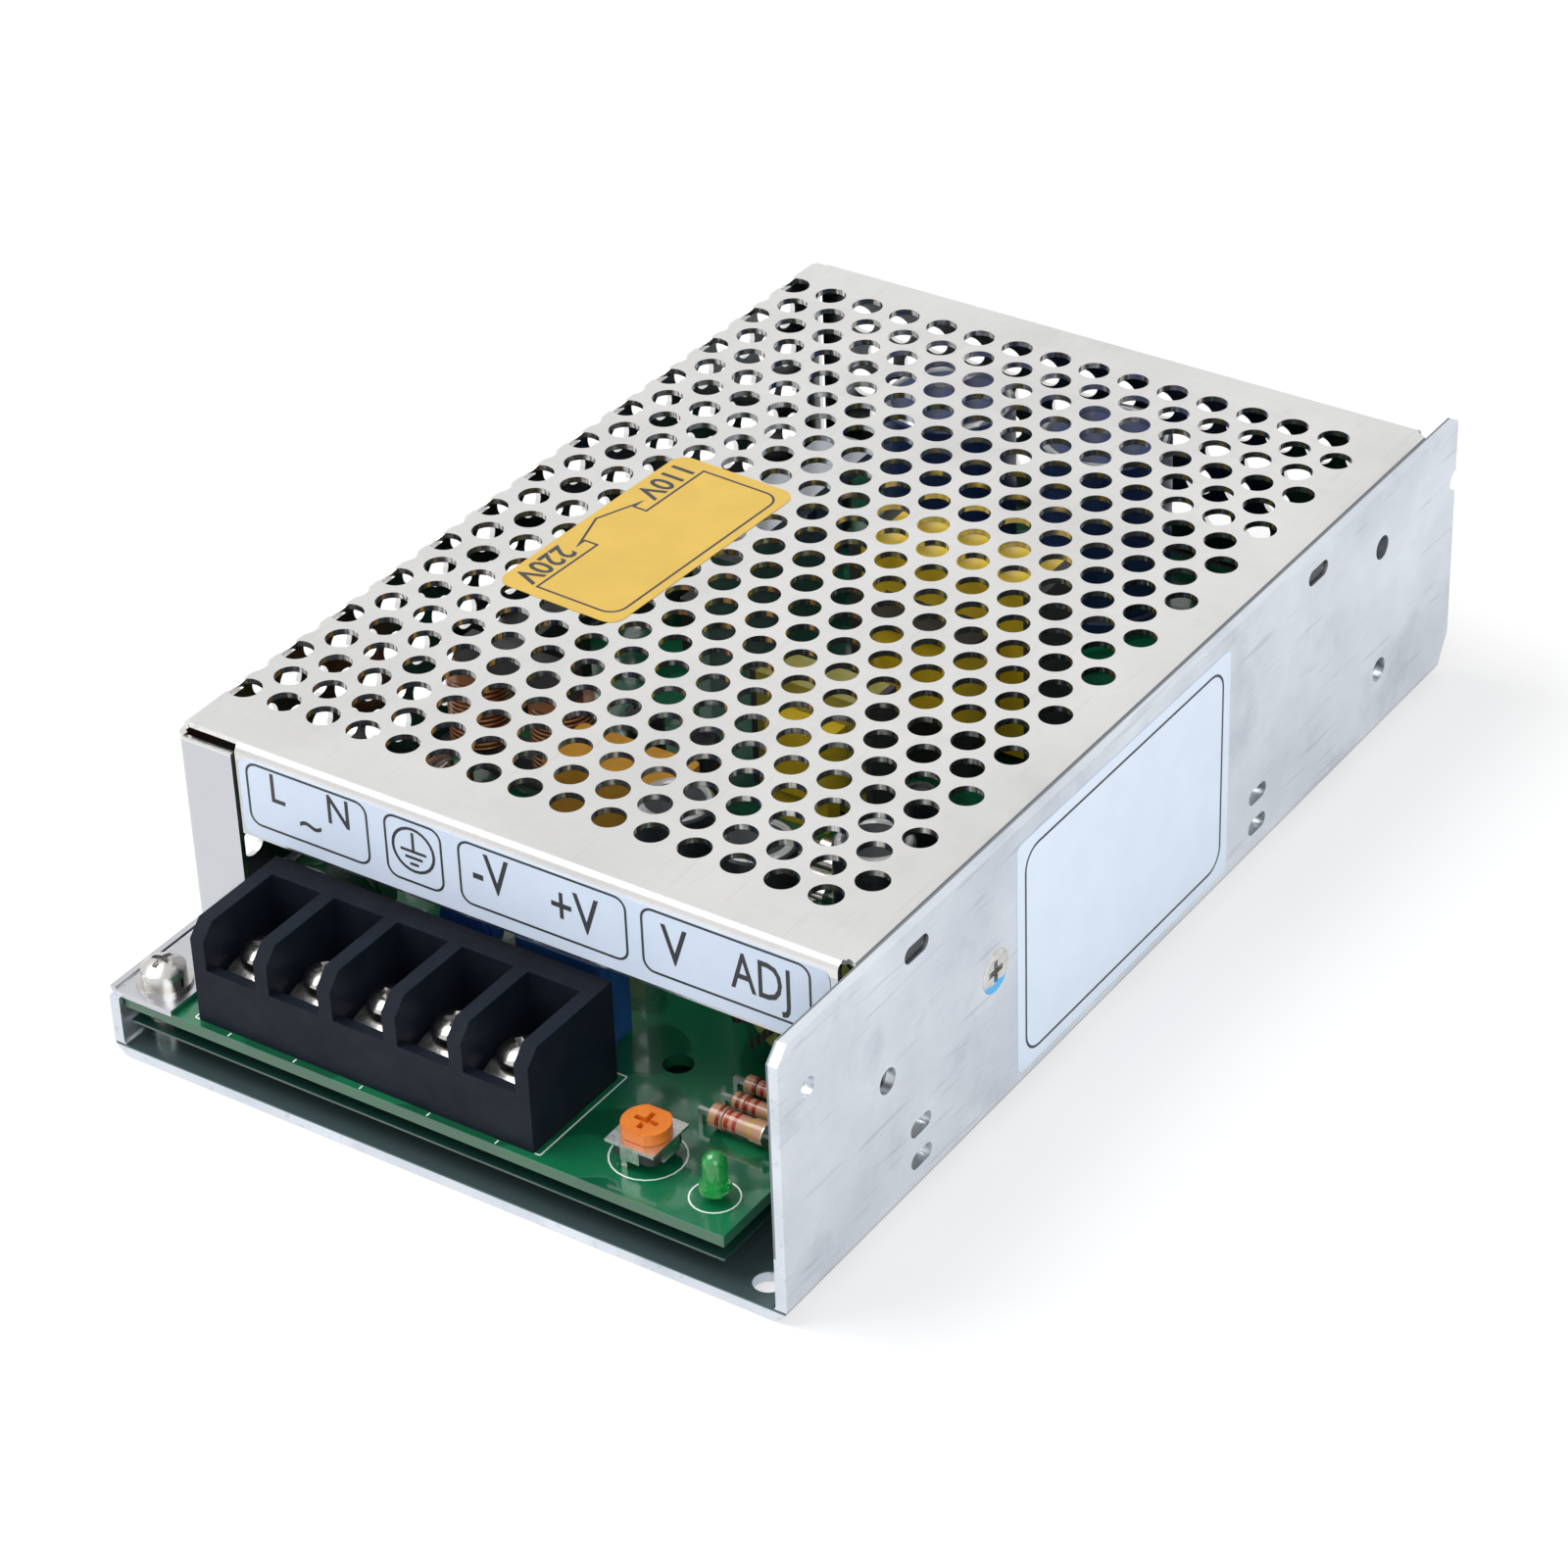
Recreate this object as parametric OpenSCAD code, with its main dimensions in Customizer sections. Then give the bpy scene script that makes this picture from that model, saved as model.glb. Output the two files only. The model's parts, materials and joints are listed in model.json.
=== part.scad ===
// Mesh case switching power supply: folded chassis, perforated cover, board and parts.
// X across the case, Y from the terminals (-Y) to the rear, Z up, origin under the centre.

/* [Case] */
// Width over the outer faces of the two sides
case_w = 98; // [94:1:110]
// Length from the terminal edge to the rear edge
case_l = 160; // [158:1:180]
// Height from the underside to the top of the cover
case_h = 38; // [37:0.5:44]

/* [Chassis] */
// Thickness of the aluminium chassis sheet
chassis_t = 1.5; // [1.2:0.1:2]
// Inside radius of the chassis bends
chassis_bend = 0.8; // [0.5:0.1:1.5]
// Corner cut at the top front of the tall side wall
wall_chamfer = 2; // [1:0.5:4]
// Height of the cut at the bottom rear corner of the side wall
rear_cut_h = 3.5; // [2:0.5:5]
// Depth of the cut at the bottom rear corner of the side wall
rear_cut_l = 2; // [1:0.5:3]
// Drill size of the tapped mounting holes
tap_d = 3.3; // [2.5:0.1:4.2]
// Distance between the underside mounting holes across the case
mount_dx = 55; // [40:1:60]
// Distance between the underside mounting holes along the case
mount_dy = 120; // [100:1:125]

/* [Cover] */
// Thickness of the steel cover sheet
cover_t = 0.8; // [0.6:0.1:1]
// Inside radius of the cover bends
cover_bend = 0.4; // [0.3:0.1:0.8]
// Distance from the chassis front edge to the front face of the cover
cover_front = 17; // [16:0.5:22]
// Distance from the chassis rear edge to the rear face of the cover
cover_rear = 4; // [3:0.5:6]
// Height of the front lip and of the right-hand flange
lip_h = 12.6; // [11:0.2:14]
// Width of the upright strip beside the terminals
strip_w = 8.4; // [6:0.2:9]
// Width of the feet that the board screws clamp
foot_w = 9.4; // [9:0.2:11]
// Gap between the cover flange and the chassis side wall
side_gap = 0.2; // [0.1:0.05:0.4]
// Side of the relief notches at the cover corners
relief = 1.6; // [1:0.2:2.4]

/* [Mesh] */
// Diameter of the cover's vent holes
vent_d = 4.2; // [3:0.1:4.6]
// Distance between vent holes in one row
vent_pitch = 6; // [5.5:0.1:7]
// Distance between rows of vent holes
vent_row = 5; // [4.8:0.1:6]
// Plain margin between the cover's front face and the first row's centres
vent_margin = 10.6; // [9:0.2:14]
// Plain margin between the vent holes and the right-hand flange
vent_side = 7; // [6:0.2:12]

/* [Board] */
// Thickness of the circuit board
board_t = 1.6; // [1.2:0.1:2]
// Height of the standoffs under the board
standoff_h = 5.4; // [5:0.1:7]
// Distance from the chassis front edge to the board
board_front = 0.8; // [0.5:0.1:2]
// Gap between the board and the right-hand wall
board_side_gap = 7.3; // [7:0.1:9]
// Thickness of the insulating sheet under the board
film_t = 0.3; // [0.2:0.05:0.5]
// Diameter of the board screws
board_screw_d = 3; // [2.5:0.1:3.5]

/* [Terminal block] */
// Number of terminals
terminals = 5; // [5:1:5]
// Distance between terminals
term_pitch = 9.5; // [9:0.1:10]
// Thickness of the barriers between terminals
barrier_t = 2; // [1.6:0.1:2.2]
// Depth of the block from front to back
block_d = 16.6; // [16:0.1:18]
// Height of the barriers above the board
block_h = 14; // [13.5:0.1:15]
// Height of the front sill above the board
sill_h = 7.9; // [7.5:0.1:8.2]
// Distance from the chassis front edge to the front of the block
block_front = 1.8; // [1.2:0.1:2]
// Distance from the board's left edge to the block
block_inset = 10.9; // [10.5:0.1:12]
// Diameter of the terminal screws
term_screw_d = 3.5; // [3:0.1:3.8]
// Thread pitch of the terminal screws
term_thread = 0.6; // [0.5:0.1:0.7]
// Thickness of the clamp plates
clamp_t = 1; // [0.8:0.1:1.1]

/* [Labels] */
// Thickness of the printed labels
label_t = 0.1; // [0.05:0.05:0.2]
// Length of the side label
side_label_l = 50; // [40:1:60]
// Width of the voltage label
top_label_w = 19; // [16:1:22]
// Length of the voltage label
top_label_l = 38; // [30:1:42]

/* [Power parts] */
// Diameter of the two mains storage capacitors
bulk_d = 18; // [16:0.5:20]
// Height of the two mains storage capacitors
bulk_h = 26; // [20:0.5:27]
// Diameter of the output capacitors
out_cap_d = 10; // [8:0.5:11]
// Height of the output capacitors
out_cap_h = 21; // [16:0.5:25]
// Width of the main transformer core
core_w = 28; // [24:1:30]
// Height of the main transformer
core_h = 26; // [20:0.5:27]
// Outer diameter of the output choke
toroid_d = 15; // [12:0.5:15.5]
// Travel of the voltage selector
selector_travel = 4; // [3:0.5:4.5]

/* [Hidden] */
$fn = 48;
// Overlap that lets a cut pass right through a face
eps = 0.5;
// Running clearance between turning or sliding pieces
run_gap = 0.05;
// Clearance of a screw in a plain hole
hole_gap = 0.2;

// Sheet faces
left_x = -case_w / 2;
right_x = case_w / 2;
front_y = -case_l / 2;
rear_y = case_l / 2;
wall_in_x = right_x - chassis_t;
base_top = chassis_t;
// Board faces
board_under = base_top + standoff_h;
board_top = board_under + board_t;
board_left = left_x + chassis_t + 0.3;
board_right = wall_in_x - board_side_gap;
board_y0 = front_y + board_front;
board_y1 = rear_y - cover_rear - cover_t - 0.6;
// Cover faces
cover_y0 = front_y + cover_front;
cover_y1 = rear_y - cover_rear;
cover_right = wall_in_x - side_gap;
cover_r = cover_bend + cover_t;
cover_under = case_h - cover_t;
foot_l = 16;
// Side wall hole positions: [distance from the front edge, height]
side_taps = [[21.5, 20.3], [case_l - 20.5, 29.3], [case_l - 20, 10.5]];
pilot_hole = [5.7, 29.8];
pilot_d = 2.6;
lug_slots = [28, case_l - 38];
lug_z = case_h - 3.4;
lug_slot_l = 5;
lug_slot_h = 2.2;
lance_slots = [28.2, case_l - 52.5];
lance_z = [5.1, 9.7];
lance_l = 4.4;
lance_h = 2.2;
corner_hole = [5, 3.8];
corner_hole_d = 3.8;
// Board screw positions
screw_xy = [[left_x + 4.8, front_y + 4.9], [left_x + 4.8, rear_y - 9.5],
            [board_right - 5, 0], [board_right - 5, rear_y - 11]];
standoff_d = 4.6;
spigot_d = 4.2;
screw_head_d = 5.6;
screw_head_h = 2.1;
washer_d = 7;
washer_t = 0.5;
spring_washer_d = 5.6;
spring_washer_t = 0.8;
// What lies between each screw's washers and the board: the cover's feet on the left
function seat_z(i) = board_top + (i < 2 ? cover_t : 0);

// Height at y for the distance d from the front edge
function at_y(d) = front_y + d;

// One bend and two legs of folded sheet in section, corner at the origin, legs along +X and +Y
module quarter_ring(r_out, t) {
    intersection() {
        difference() {
            circle(r = r_out);
            circle(r = r_out - t);
        }
        translate([-r_out, -r_out]) square(r_out);
    }
}

// A bar along Y whose X-Z section is the child
module along_y(y0, y1) {
    translate([0, y1, 0]) rotate([90, 0, 0]) linear_extrude(y1 - y0) children();
}

// A plate in the Y-Z plane whose outline is the child, from x0 inwards along +X
module in_yz(x0, t) {
    translate([x0, 0, 0]) rotate([90, 0, 90]) linear_extrude(t) children();
}

// A plate in the X-Z plane whose outline is the child, from y0 backwards along +Y
module in_xz(y0, t) {
    translate([0, y0 + t, 0]) rotate([90, 0, 0]) linear_extrude(t) children();
}

module slot_shape(l, h) {
    translate([-(l - h) / 2, 0]) circle(d = h);
    translate([(l - h) / 2, 0]) circle(d = h);
    square([l - h, h], center = true);
}

module rounded_rect(size, r) {
    translate([r, 0]) square([size[0] - 2 * r, size[1]]);
    translate([0, r]) square([size[0], size[1] - 2 * r]);
    for (x = [r, size[0] - r], y = [r, size[1] - r]) translate([x, y]) circle(r = r);
}

module rounded_box(size, r) {
    linear_extrude(size[2]) rounded_rect([size[0], size[1]], r);
}

// Chassis ------------------------------------------------------------------

chassis_r = chassis_bend + chassis_t;

module wall_outline() {
    difference() {
        polygon([[front_y, chassis_r], [front_y, case_h - wall_chamfer],
                 [front_y + wall_chamfer, case_h], [rear_y, case_h],
                 [rear_y, chassis_r + rear_cut_h], [rear_y - rear_cut_l, chassis_r]]);
        for (p = side_taps) translate([at_y(p[0]), p[1]]) circle(d = tap_d);
        translate([at_y(pilot_hole[0]), pilot_hole[1]]) circle(d = pilot_d);
        for (d = lug_slots) translate([at_y(d), lug_z]) slot_shape(lug_slot_l, lug_slot_h);
        for (d = lance_slots, z = lance_z) translate([at_y(d), z]) slot_shape(lance_l, lance_h);
        translate([at_y(rect_y), rect_screw_z]) circle(d = rect_screw_d + 2 * hole_gap);
        translate([rear_y, case_h - 9]) circle(d = 3);
    }
}

module base_outline() {
    difference() {
        translate([left_x + chassis_r, front_y]) square([case_w - 2 * chassis_r, case_l]);
        for (x = [-1, 1], y = [-1, 1]) {
            translate([x * mount_dx / 2, y * mount_dy / 2]) circle(d = tap_d);
        }
        for (p = screw_xy) translate(p) circle(d = spigot_d);
        translate([right_x - corner_hole[0], at_y(corner_hole[1])]) circle(d = corner_hole_d);
    }
}

module base_chassis() color("lightsteelblue") {
    difference() {
        union() {
            linear_extrude(chassis_t) base_outline();
            in_yz(wall_in_x, chassis_t) wall_outline();
            along_y(front_y, rear_y - rear_cut_l)
                translate([right_x - chassis_r, chassis_r]) mirror([1, 0])
                    quarter_ring(chassis_r, chassis_t);
            along_y(front_y, rear_y)
                translate([left_x + chassis_r, chassis_r]) quarter_ring(chassis_r, chassis_t);
            translate([left_x, front_y, chassis_r])
                cube([chassis_t, case_l, board_top - chassis_r]);
        }
        translate([right_x - rect_head_h, at_y(rect_y), rect_screw_z]) rotate([0, 90, 0])
            cylinder(h = rect_head_h + 0.01, d1 = rect_screw_d + 2 * hole_gap,
                     d2 = rect_head_d + 2 * run_gap);
    }
}

// Cover --------------------------------------------------------------------

// Vent grid: rows along X, every second row shifted by half a pitch
vent_y0 = cover_y0 + vent_margin;
vent_rows = floor((cover_y1 - 7 - vent_y0) / vent_row) + 1;
vent_x1 = cover_right - vent_side;
function row_y(i) = vent_y0 + i * vent_row;
function row_shift(i) = i % 2 == 0 ? vent_pitch / 2 : 0;
// Columns counted leftwards from the right-hand margin, down to the bend
function row_count(i) = floor((vent_x1 - row_shift(i) - vent_d / 2 - left_x - cover_r) / vent_pitch) + 1;
// Where the grid's next hole lies past the left end of a row, along the unfolded sheet
function past_end(i) = vent_x1 - row_shift(i) - row_count(i) * vent_pitch;
arc_len = PI / 2 * (cover_bend + cover_t / 2);
// Height on the left wall of the hole n steps past the end of a row
function wall_z(i, n) = case_h - cover_r
    - (left_x + cover_r - past_end(i) + n * vent_pitch - arc_len);
function crosses_bend(z) = z + vent_d / 2 > case_h - cover_r;
window_y = at_y(82);
window_w = 12;
window_h = 6;
window_z = board_top + 6.6;
function near_window(y, z) = abs(y - window_y) < (window_w + vent_d) / 2 + 0.8
    && abs(z - window_z) < (window_h + vent_d) / 2 + 0.8;

module top_outline() {
    difference() {
        translate([left_x + cover_r, cover_y0 + cover_r])
            square([cover_right - left_x - 2 * cover_r, cover_y1 - cover_y0 - 2 * cover_r]);
        for (i = [0:vent_rows - 1], k = [0:row_count(i)]) {
            x = vent_x1 - row_shift(i) - k * vent_pitch;
            if (x + vent_d / 2 > left_x + cover_r) translate([x, row_y(i)]) circle(d = vent_d);
        }
    }
}

module left_wall_outline() {
    difference() {
        translate([cover_y0 + cover_r, board_top + cover_r])
            square([cover_y1 - cover_y0 - cover_r, case_h - board_top - 2 * cover_r]);
        for (i = [0:vent_rows - 1], n = [0:4]) {
            y = row_y(i);
            z = wall_z(i, n);
            if (z > board_top + vent_d && z - vent_d / 2 < case_h - cover_r && !near_window(y, z)) {
                translate([y, z]) circle(d = vent_d);
            }
        }
        translate([window_y - window_w / 2, window_z - window_h / 2])
            rounded_rect([window_w, window_h], 0.8);
    }
}

// The bend over the left side, with the holes that run round it
module left_bend() {
    difference() {
        along_y(cover_y0 + relief, cover_y1 - relief)
            translate([left_x + cover_r, case_h - cover_r]) mirror([0, 1])
                quarter_ring(cover_r, cover_t);
        for (i = [0:vent_rows - 1]) {
            x = past_end(i);
            if (x + vent_d / 2 > left_x) {
                translate([x, row_y(i), case_h - cover_r - eps])
                    cylinder(h = cover_r + 2 * eps, d = vent_d);
            }
            z = wall_z(i, 0);
            if (crosses_bend(z)) {
                translate([left_x - eps, row_y(i), z]) rotate([0, 90, 0])
                    cylinder(h = cover_r + eps, d = vent_d);
            }
        }
    }
}

module rear_outline() {
    x0 = left_x + chassis_t + hole_gap;
    x1 = cover_right - relief;
    rear_rows = 4;
    difference() {
        translate([x0, board_under + 1]) square([x1 - x0, case_h - cover_r - board_under - 1]);
        for (i = [0:rear_rows - 1], k = [0:row_count(i) - 1]) {
            x = vent_x1 - row_shift(i) - k * vent_pitch;
            if (x - vent_d / 2 > x0 + 1.5) {
                translate([x, case_h - cover_r - 6 - i * vent_row]) circle(d = vent_d);
            }
        }
    }
}

module foot(y0, y1, hole_at) {
    difference() {
        translate([left_x + cover_r, y0, board_top]) cube([foot_w - cover_r, y1 - y0, cover_t]);
        translate([hole_at[0], hole_at[1], board_top - eps])
            cylinder(h = cover_t + 2 * eps, d = board_screw_d + 2 * hole_gap);
    }
}

module mesh_cover() color("gainsboro") {
    strip_y = cover_y0;
    lip_x0 = left_x + strip_w + 0.7;
    lip_x1 = cover_right - relief;
    translate([0, 0, cover_under]) linear_extrude(cover_t) top_outline();
    in_yz(left_x, cover_t) left_wall_outline();
    left_bend();
    // Front and rear bends of the top
    for (side = [-1, 1]) {
        y = side < 0 ? cover_y0 + cover_r : cover_y1 - cover_r;
        x0 = side < 0 ? lip_x0 : left_x + cover_r + relief;
        translate([x0, y, case_h - cover_r]) rotate([90, 0, 90])
            linear_extrude(lip_x1 - x0) mirror([side < 0 ? 0 : 1, 0]) mirror([0, 1])
                quarter_ring(cover_r, cover_t);
    }
    // Front lip
    in_xz(cover_y0, cover_t) translate([lip_x0, case_h - lip_h])
        square([lip_x1 - lip_x0, lip_h - cover_r]);
    // Rear wall
    in_xz(cover_y1 - cover_t, cover_t) rear_outline();
    // Right-hand bend and flange with its two lugs
    along_y(cover_y0 + relief, cover_y1 - relief)
        translate([cover_right - cover_r, case_h - cover_r]) mirror([1, 0]) mirror([0, 1])
            quarter_ring(cover_r, cover_t);
    in_yz(cover_right - cover_t, cover_t) translate([cover_y0 + relief, case_h - lip_h])
        square([cover_y1 - cover_y0 - 2 * relief, lip_h - cover_r]);
    for (d = lug_slots) {
        in_yz(cover_right, side_gap + chassis_t - 0.4) translate([at_y(d), lug_z])
            slot_shape(lug_slot_l - 2 * hole_gap, lug_slot_h - 2 * hole_gap);
    }
    // Strip beside the terminals, folded from the left wall
    translate([left_x + cover_r, strip_y + cover_r, board_top + cover_t])
        linear_extrude(case_h - board_top - cover_t - cover_r) quarter_ring(cover_r, cover_t);
    translate([left_x + cover_r, strip_y, board_top + cover_t])
        cube([strip_w - cover_r, cover_t, case_h - board_top - cover_t - relief]);
    // Feet, folded inwards from the bottom edge of the left wall
    along_y(front_y + 0.4, cover_y0 + foot_l) translate([left_x + cover_r, board_top + cover_r])
        quarter_ring(cover_r, cover_t);
    foot(front_y + 0.4, cover_y0 + foot_l, screw_xy[0]);
    along_y(cover_y1 - foot_l, cover_y1) translate([left_x + cover_r, board_top + cover_r])
        quarter_ring(cover_r, cover_t);
    foot(cover_y1 - foot_l, cover_y1, screw_xy[1]);
    // Plain bottom edge of the wall between the feet
    translate([left_x, cover_y0 + foot_l, board_top])
        cube([cover_t, cover_y1 - cover_y0 - 2 * foot_l, cover_r]);
}

// Board, film, standoffs and their screws ---------------------------------

module board_outline() {
    translate([board_left, board_y0]) square([board_right - board_left, board_y1 - board_y0]);
}

module circuit_board() color("seagreen") translate([0, 0, board_under]) difference() {
    linear_extrude(board_t) difference() {
        board_outline();
        for (p = screw_xy) translate(p) circle(d = board_screw_d + 2 * hole_gap);
        translate([board_right - 22.5, at_y(24.4)]) circle(d = 3.8);
        for (i = [0:terminals - 1]) {
            translate([term_x(i), contact_leg_y + contact_t / 2])
                square([contact_leg_w + 2 * hole_gap, contact_t + 2 * hole_gap], center = true);
        }
    }
}

film_z = base_top + 3.1;
film_inset = 0.3;

module insulating_sheet() color("azure", 0.5) translate([0, 0, film_z]) linear_extrude(film_t)
    difference() {
        translate([board_left + film_inset, board_y0 + film_inset])
            square([board_right - board_left - 2 * film_inset, board_y1 - board_y0 - 2 * film_inset]);
        for (p = screw_xy) translate(p) circle(d = standoff_d + 2 * hole_gap);
    }

module board_standoffs() color("silver") for (p = screw_xy) translate(p) difference() {
    union() {
        translate([0, 0, base_top]) cylinder(h = standoff_h, d = standoff_d);
        cylinder(h = base_top + 0.1, d = spigot_d - 2 * run_gap);
    }
    translate([0, 0, base_top + 0.4])
        cylinder(h = standoff_h, d = board_screw_d + 2 * run_gap);
}

// Pan head with a cross recess, underside of the head at z = 0
module pan_head(d, h) {
    difference() {
        union() {
            cylinder(h = h * 0.45, d = d);
            translate([0, 0, h * 0.45]) intersection() {
                scale_r = (d * d / 4 + h * h * 0.3025) / (1.1 * h);
                translate([0, 0, h * 0.55 - scale_r]) sphere(r = scale_r);
                cylinder(h = h, d = d);
            }
        }
        for (a = [0, 90]) rotate(a) translate([-d * 0.3, -d * 0.07, h * 0.5])
            cube([d * 0.6, d * 0.14, h]);
    }
}

module board_screws() color("silver") for (i = [0:3]) {
    top = seat_z(i) + washer_t + spring_washer_t;
    translate([screw_xy[i][0], screw_xy[i][1], top]) {
        pan_head(screw_head_d, screw_head_h);
        translate([0, 0, base_top + 1 - top]) cylinder(h = top - base_top - 1, d = board_screw_d);
    }
}

module spring_washers() color("silver") for (i = [0:3]) {
    translate([screw_xy[i][0], screw_xy[i][1], seat_z(i) + washer_t]) linear_extrude(spring_washer_t)
        difference() {
            circle(d = spring_washer_d);
            circle(d = board_screw_d + 2 * run_gap);
            translate([0, -0.25]) square([spring_washer_d, 0.5]);
        }
}

module flat_washers() color("silver") for (i = [0:3]) {
    translate([screw_xy[i][0], screw_xy[i][1], seat_z(i)]) linear_extrude(washer_t) difference() {
        circle(d = washer_d);
        circle(d = board_screw_d + 2 * run_gap);
    }
}

// Terminal block -----------------------------------------------------------

block_x0 = board_left + block_inset;
block_w = terminals * term_pitch + barrier_t;
block_y0 = at_y(block_front);
sill_t = 1.4;
rear_wall_t = 3.4;
contact_t = 0.8;
// Heights above the board
contact_top = board_top + 4.1;
floor_top = contact_top - contact_t;
function term_x(i) = block_x0 + barrier_t / 2 + (i + 0.5) * term_pitch;
term_y = block_y0 + 6.5;
bay_w = term_pitch - barrier_t;
bay_d = block_d - sill_t - rear_wall_t;
contact_w = bay_w - 0.6;
contact_leg_w = 3;
contact_leg_y = block_y0 + block_d - rear_wall_t - contact_t;
boss_d = term_screw_d + 1.8;
boss_h = 2.2;
barrier_cut = 2;

module terminal_block() color("#1d1f24") difference() {
    // Barrier profile seen from the side, cut at the top front corner
    in_yz(block_x0, block_w) polygon([
        [block_y0, board_top], [block_y0, board_top + block_h - barrier_cut],
        [block_y0 + barrier_cut, board_top + block_h], [block_y0 + block_d, board_top + block_h],
        [block_y0 + block_d, board_top]]);
    for (i = [0:terminals - 1]) {
        translate([term_x(i) - bay_w / 2, block_y0 + sill_t, floor_top])
            cube([bay_w, bay_d, block_h]);
        translate([term_x(i) - bay_w / 2, block_y0 - eps, board_top + sill_h])
            cube([bay_w, block_d - rear_wall_t + eps, block_h]);
        translate([term_x(i), term_y, board_top - eps])
            cylinder(h = block_h, d = boss_d + 0.4);
        translate([term_x(i) - contact_leg_w / 2 - 0.1, contact_leg_y - 0.1, board_top - eps])
            cube([contact_leg_w + 0.2, contact_t + 0.1, block_h]);
    }
}

module terminal_contacts() color("silver") for (i = [0:terminals - 1]) translate([term_x(i), 0, 0]) {
    y0 = term_y - 2.6;
    y1 = contact_leg_y + contact_t;
    difference() {
        union() {
            translate([-contact_w / 2, y0, floor_top]) cube([contact_w, y1 - y0, contact_t]);
            translate([0, term_y, floor_top - boss_h]) cylinder(h = boss_h, d = boss_d);
            translate([-contact_leg_w / 2, contact_leg_y, board_under - 1.5])
                cube([contact_leg_w, contact_t, floor_top - board_under + 1.5]);
        }
        translate([0, term_y, floor_top - boss_h - eps])
            cylinder(h = boss_h + contact_t + 2 * eps, d = term_screw_d + 2 * run_gap);
    }
}

// Clamp plate on its screw, drawn backed off as it leaves the factory
clamp_w = bay_w - 1.2;
clamp_lift = 2;
clamp_z = contact_top + clamp_lift;
clamp_lip = 0.8;
clamp_front = 4.2;
clamp_back = 3.4;
clamp_slope_y = 2;

module clamp_plate(i) color("gainsboro") translate([term_x(i), term_y, clamp_z]) difference() {
    // Side profile: flat, then sloping down to the rolled front edge
    in_yz(-clamp_w / 2, clamp_w) polygon([
        [clamp_back, 0], [clamp_back, clamp_t], [-clamp_slope_y, clamp_t],
        [-clamp_front, clamp_t - clamp_lip], [-clamp_front, -clamp_lip],
        [-clamp_front + clamp_t * 0.8, -clamp_lip], [-clamp_slope_y, 0]]);
    translate([0, 0, -eps]) cylinder(h = clamp_t + 2 * eps, d = term_screw_d + 2 * run_gap);
}

term_head_d = bay_w - 1.4;
term_head_h = 2.3;
term_shank = 5.7;

module terminal_screw(i) color("silver")
    translate([term_x(i), term_y, clamp_z + clamp_t + 0.02]) {
        rotate(20 + 31 * i) pan_head(term_head_d, term_head_h);
        translate([0, 0, -term_shank]) cylinder(h = term_shank, d = term_screw_d);
    }

module clamp_plate_1() clamp_plate(0);
module clamp_plate_2() clamp_plate(1);
module clamp_plate_3() clamp_plate(2);
module clamp_plate_4() clamp_plate(3);
module clamp_plate_5() clamp_plate(4);
module terminal_screw_1() terminal_screw(0);
module terminal_screw_2() terminal_screw(1);
module terminal_screw_3() terminal_screw(2);
module terminal_screw_4() terminal_screw(3);
module terminal_screw_5() terminal_screw(4);

// Trimmer, lamp and resistors at the front --------------------------------

trim_x = board_right - 15.6;
trim_y = at_y(8.4);
trim_w = 6.8;
trim_d = 7.2;
trim_base_z = board_top + 1.4;
trim_body_h = 1.7;
trim_frame_t = 0.4;
rotor_d = 6;
rotor_h = 1.5;
hub_d = 2.4;

module trimmer_body() color("#26272b") translate([trim_x, trim_y, trim_base_z]) difference() {
    translate([-trim_w / 2 + trim_frame_t, -trim_d / 2 + trim_frame_t, 0])
        rounded_box([trim_w - 2 * trim_frame_t, trim_d - 2 * trim_frame_t, trim_body_h], 1);
    translate([0, 0, 0.4]) cylinder(h = trim_body_h, d = hub_d + 2 * run_gap);
}

module trimmer_frame() color("silver") translate([trim_x, trim_y, 0]) {
    top = trim_base_z + trim_body_h;
    difference() {
        translate([-trim_w / 2, -trim_d / 2, top]) cube([trim_w, trim_d, trim_frame_t]);
        translate([0, 0, top - eps]) cylinder(h = 2 * eps + trim_frame_t, d = hub_d + 2 * run_gap);
    }
    // Ears folded down the four sides, and the solder legs
    for (side = [-1, 1]) {
        translate([-1.3, side < 0 ? -trim_d / 2 : trim_d / 2 - trim_frame_t, trim_base_z])
            cube([2.6, trim_frame_t, trim_body_h]);
        translate([side < 0 ? -trim_w / 2 : trim_w / 2 - trim_frame_t, -1.6, trim_base_z])
            cube([trim_frame_t, 3.2, trim_body_h]);
        translate([side * 0.8 - 0.4, side < 0 ? -trim_d / 2 : trim_d / 2 - trim_frame_t, board_top])
            cube([0.8, trim_frame_t, trim_base_z - board_top]);
    }
}

module trimmer_rotor() color("darkorange")
    translate([trim_x, trim_y, trim_base_z + trim_body_h + trim_frame_t + 0.05]) difference() {
        union() {
            linear_extrude(rotor_h) intersection() {
                circle(d = rotor_d);
                square([rotor_d, rotor_d * 0.88], center = true);
            }
            translate([0, 0, -trim_body_h - trim_frame_t + 0.5])
                cylinder(h = trim_body_h + trim_frame_t, d = hub_d);
        }
        for (a = [0, 90]) rotate(a) translate([-1.6, -0.35, rotor_h - 0.7]) cube([3.2, 0.7, 1]);
    }

led_x = board_right - 4.7;
led_y = at_y(6.2);
led_r = 1.5;

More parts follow.
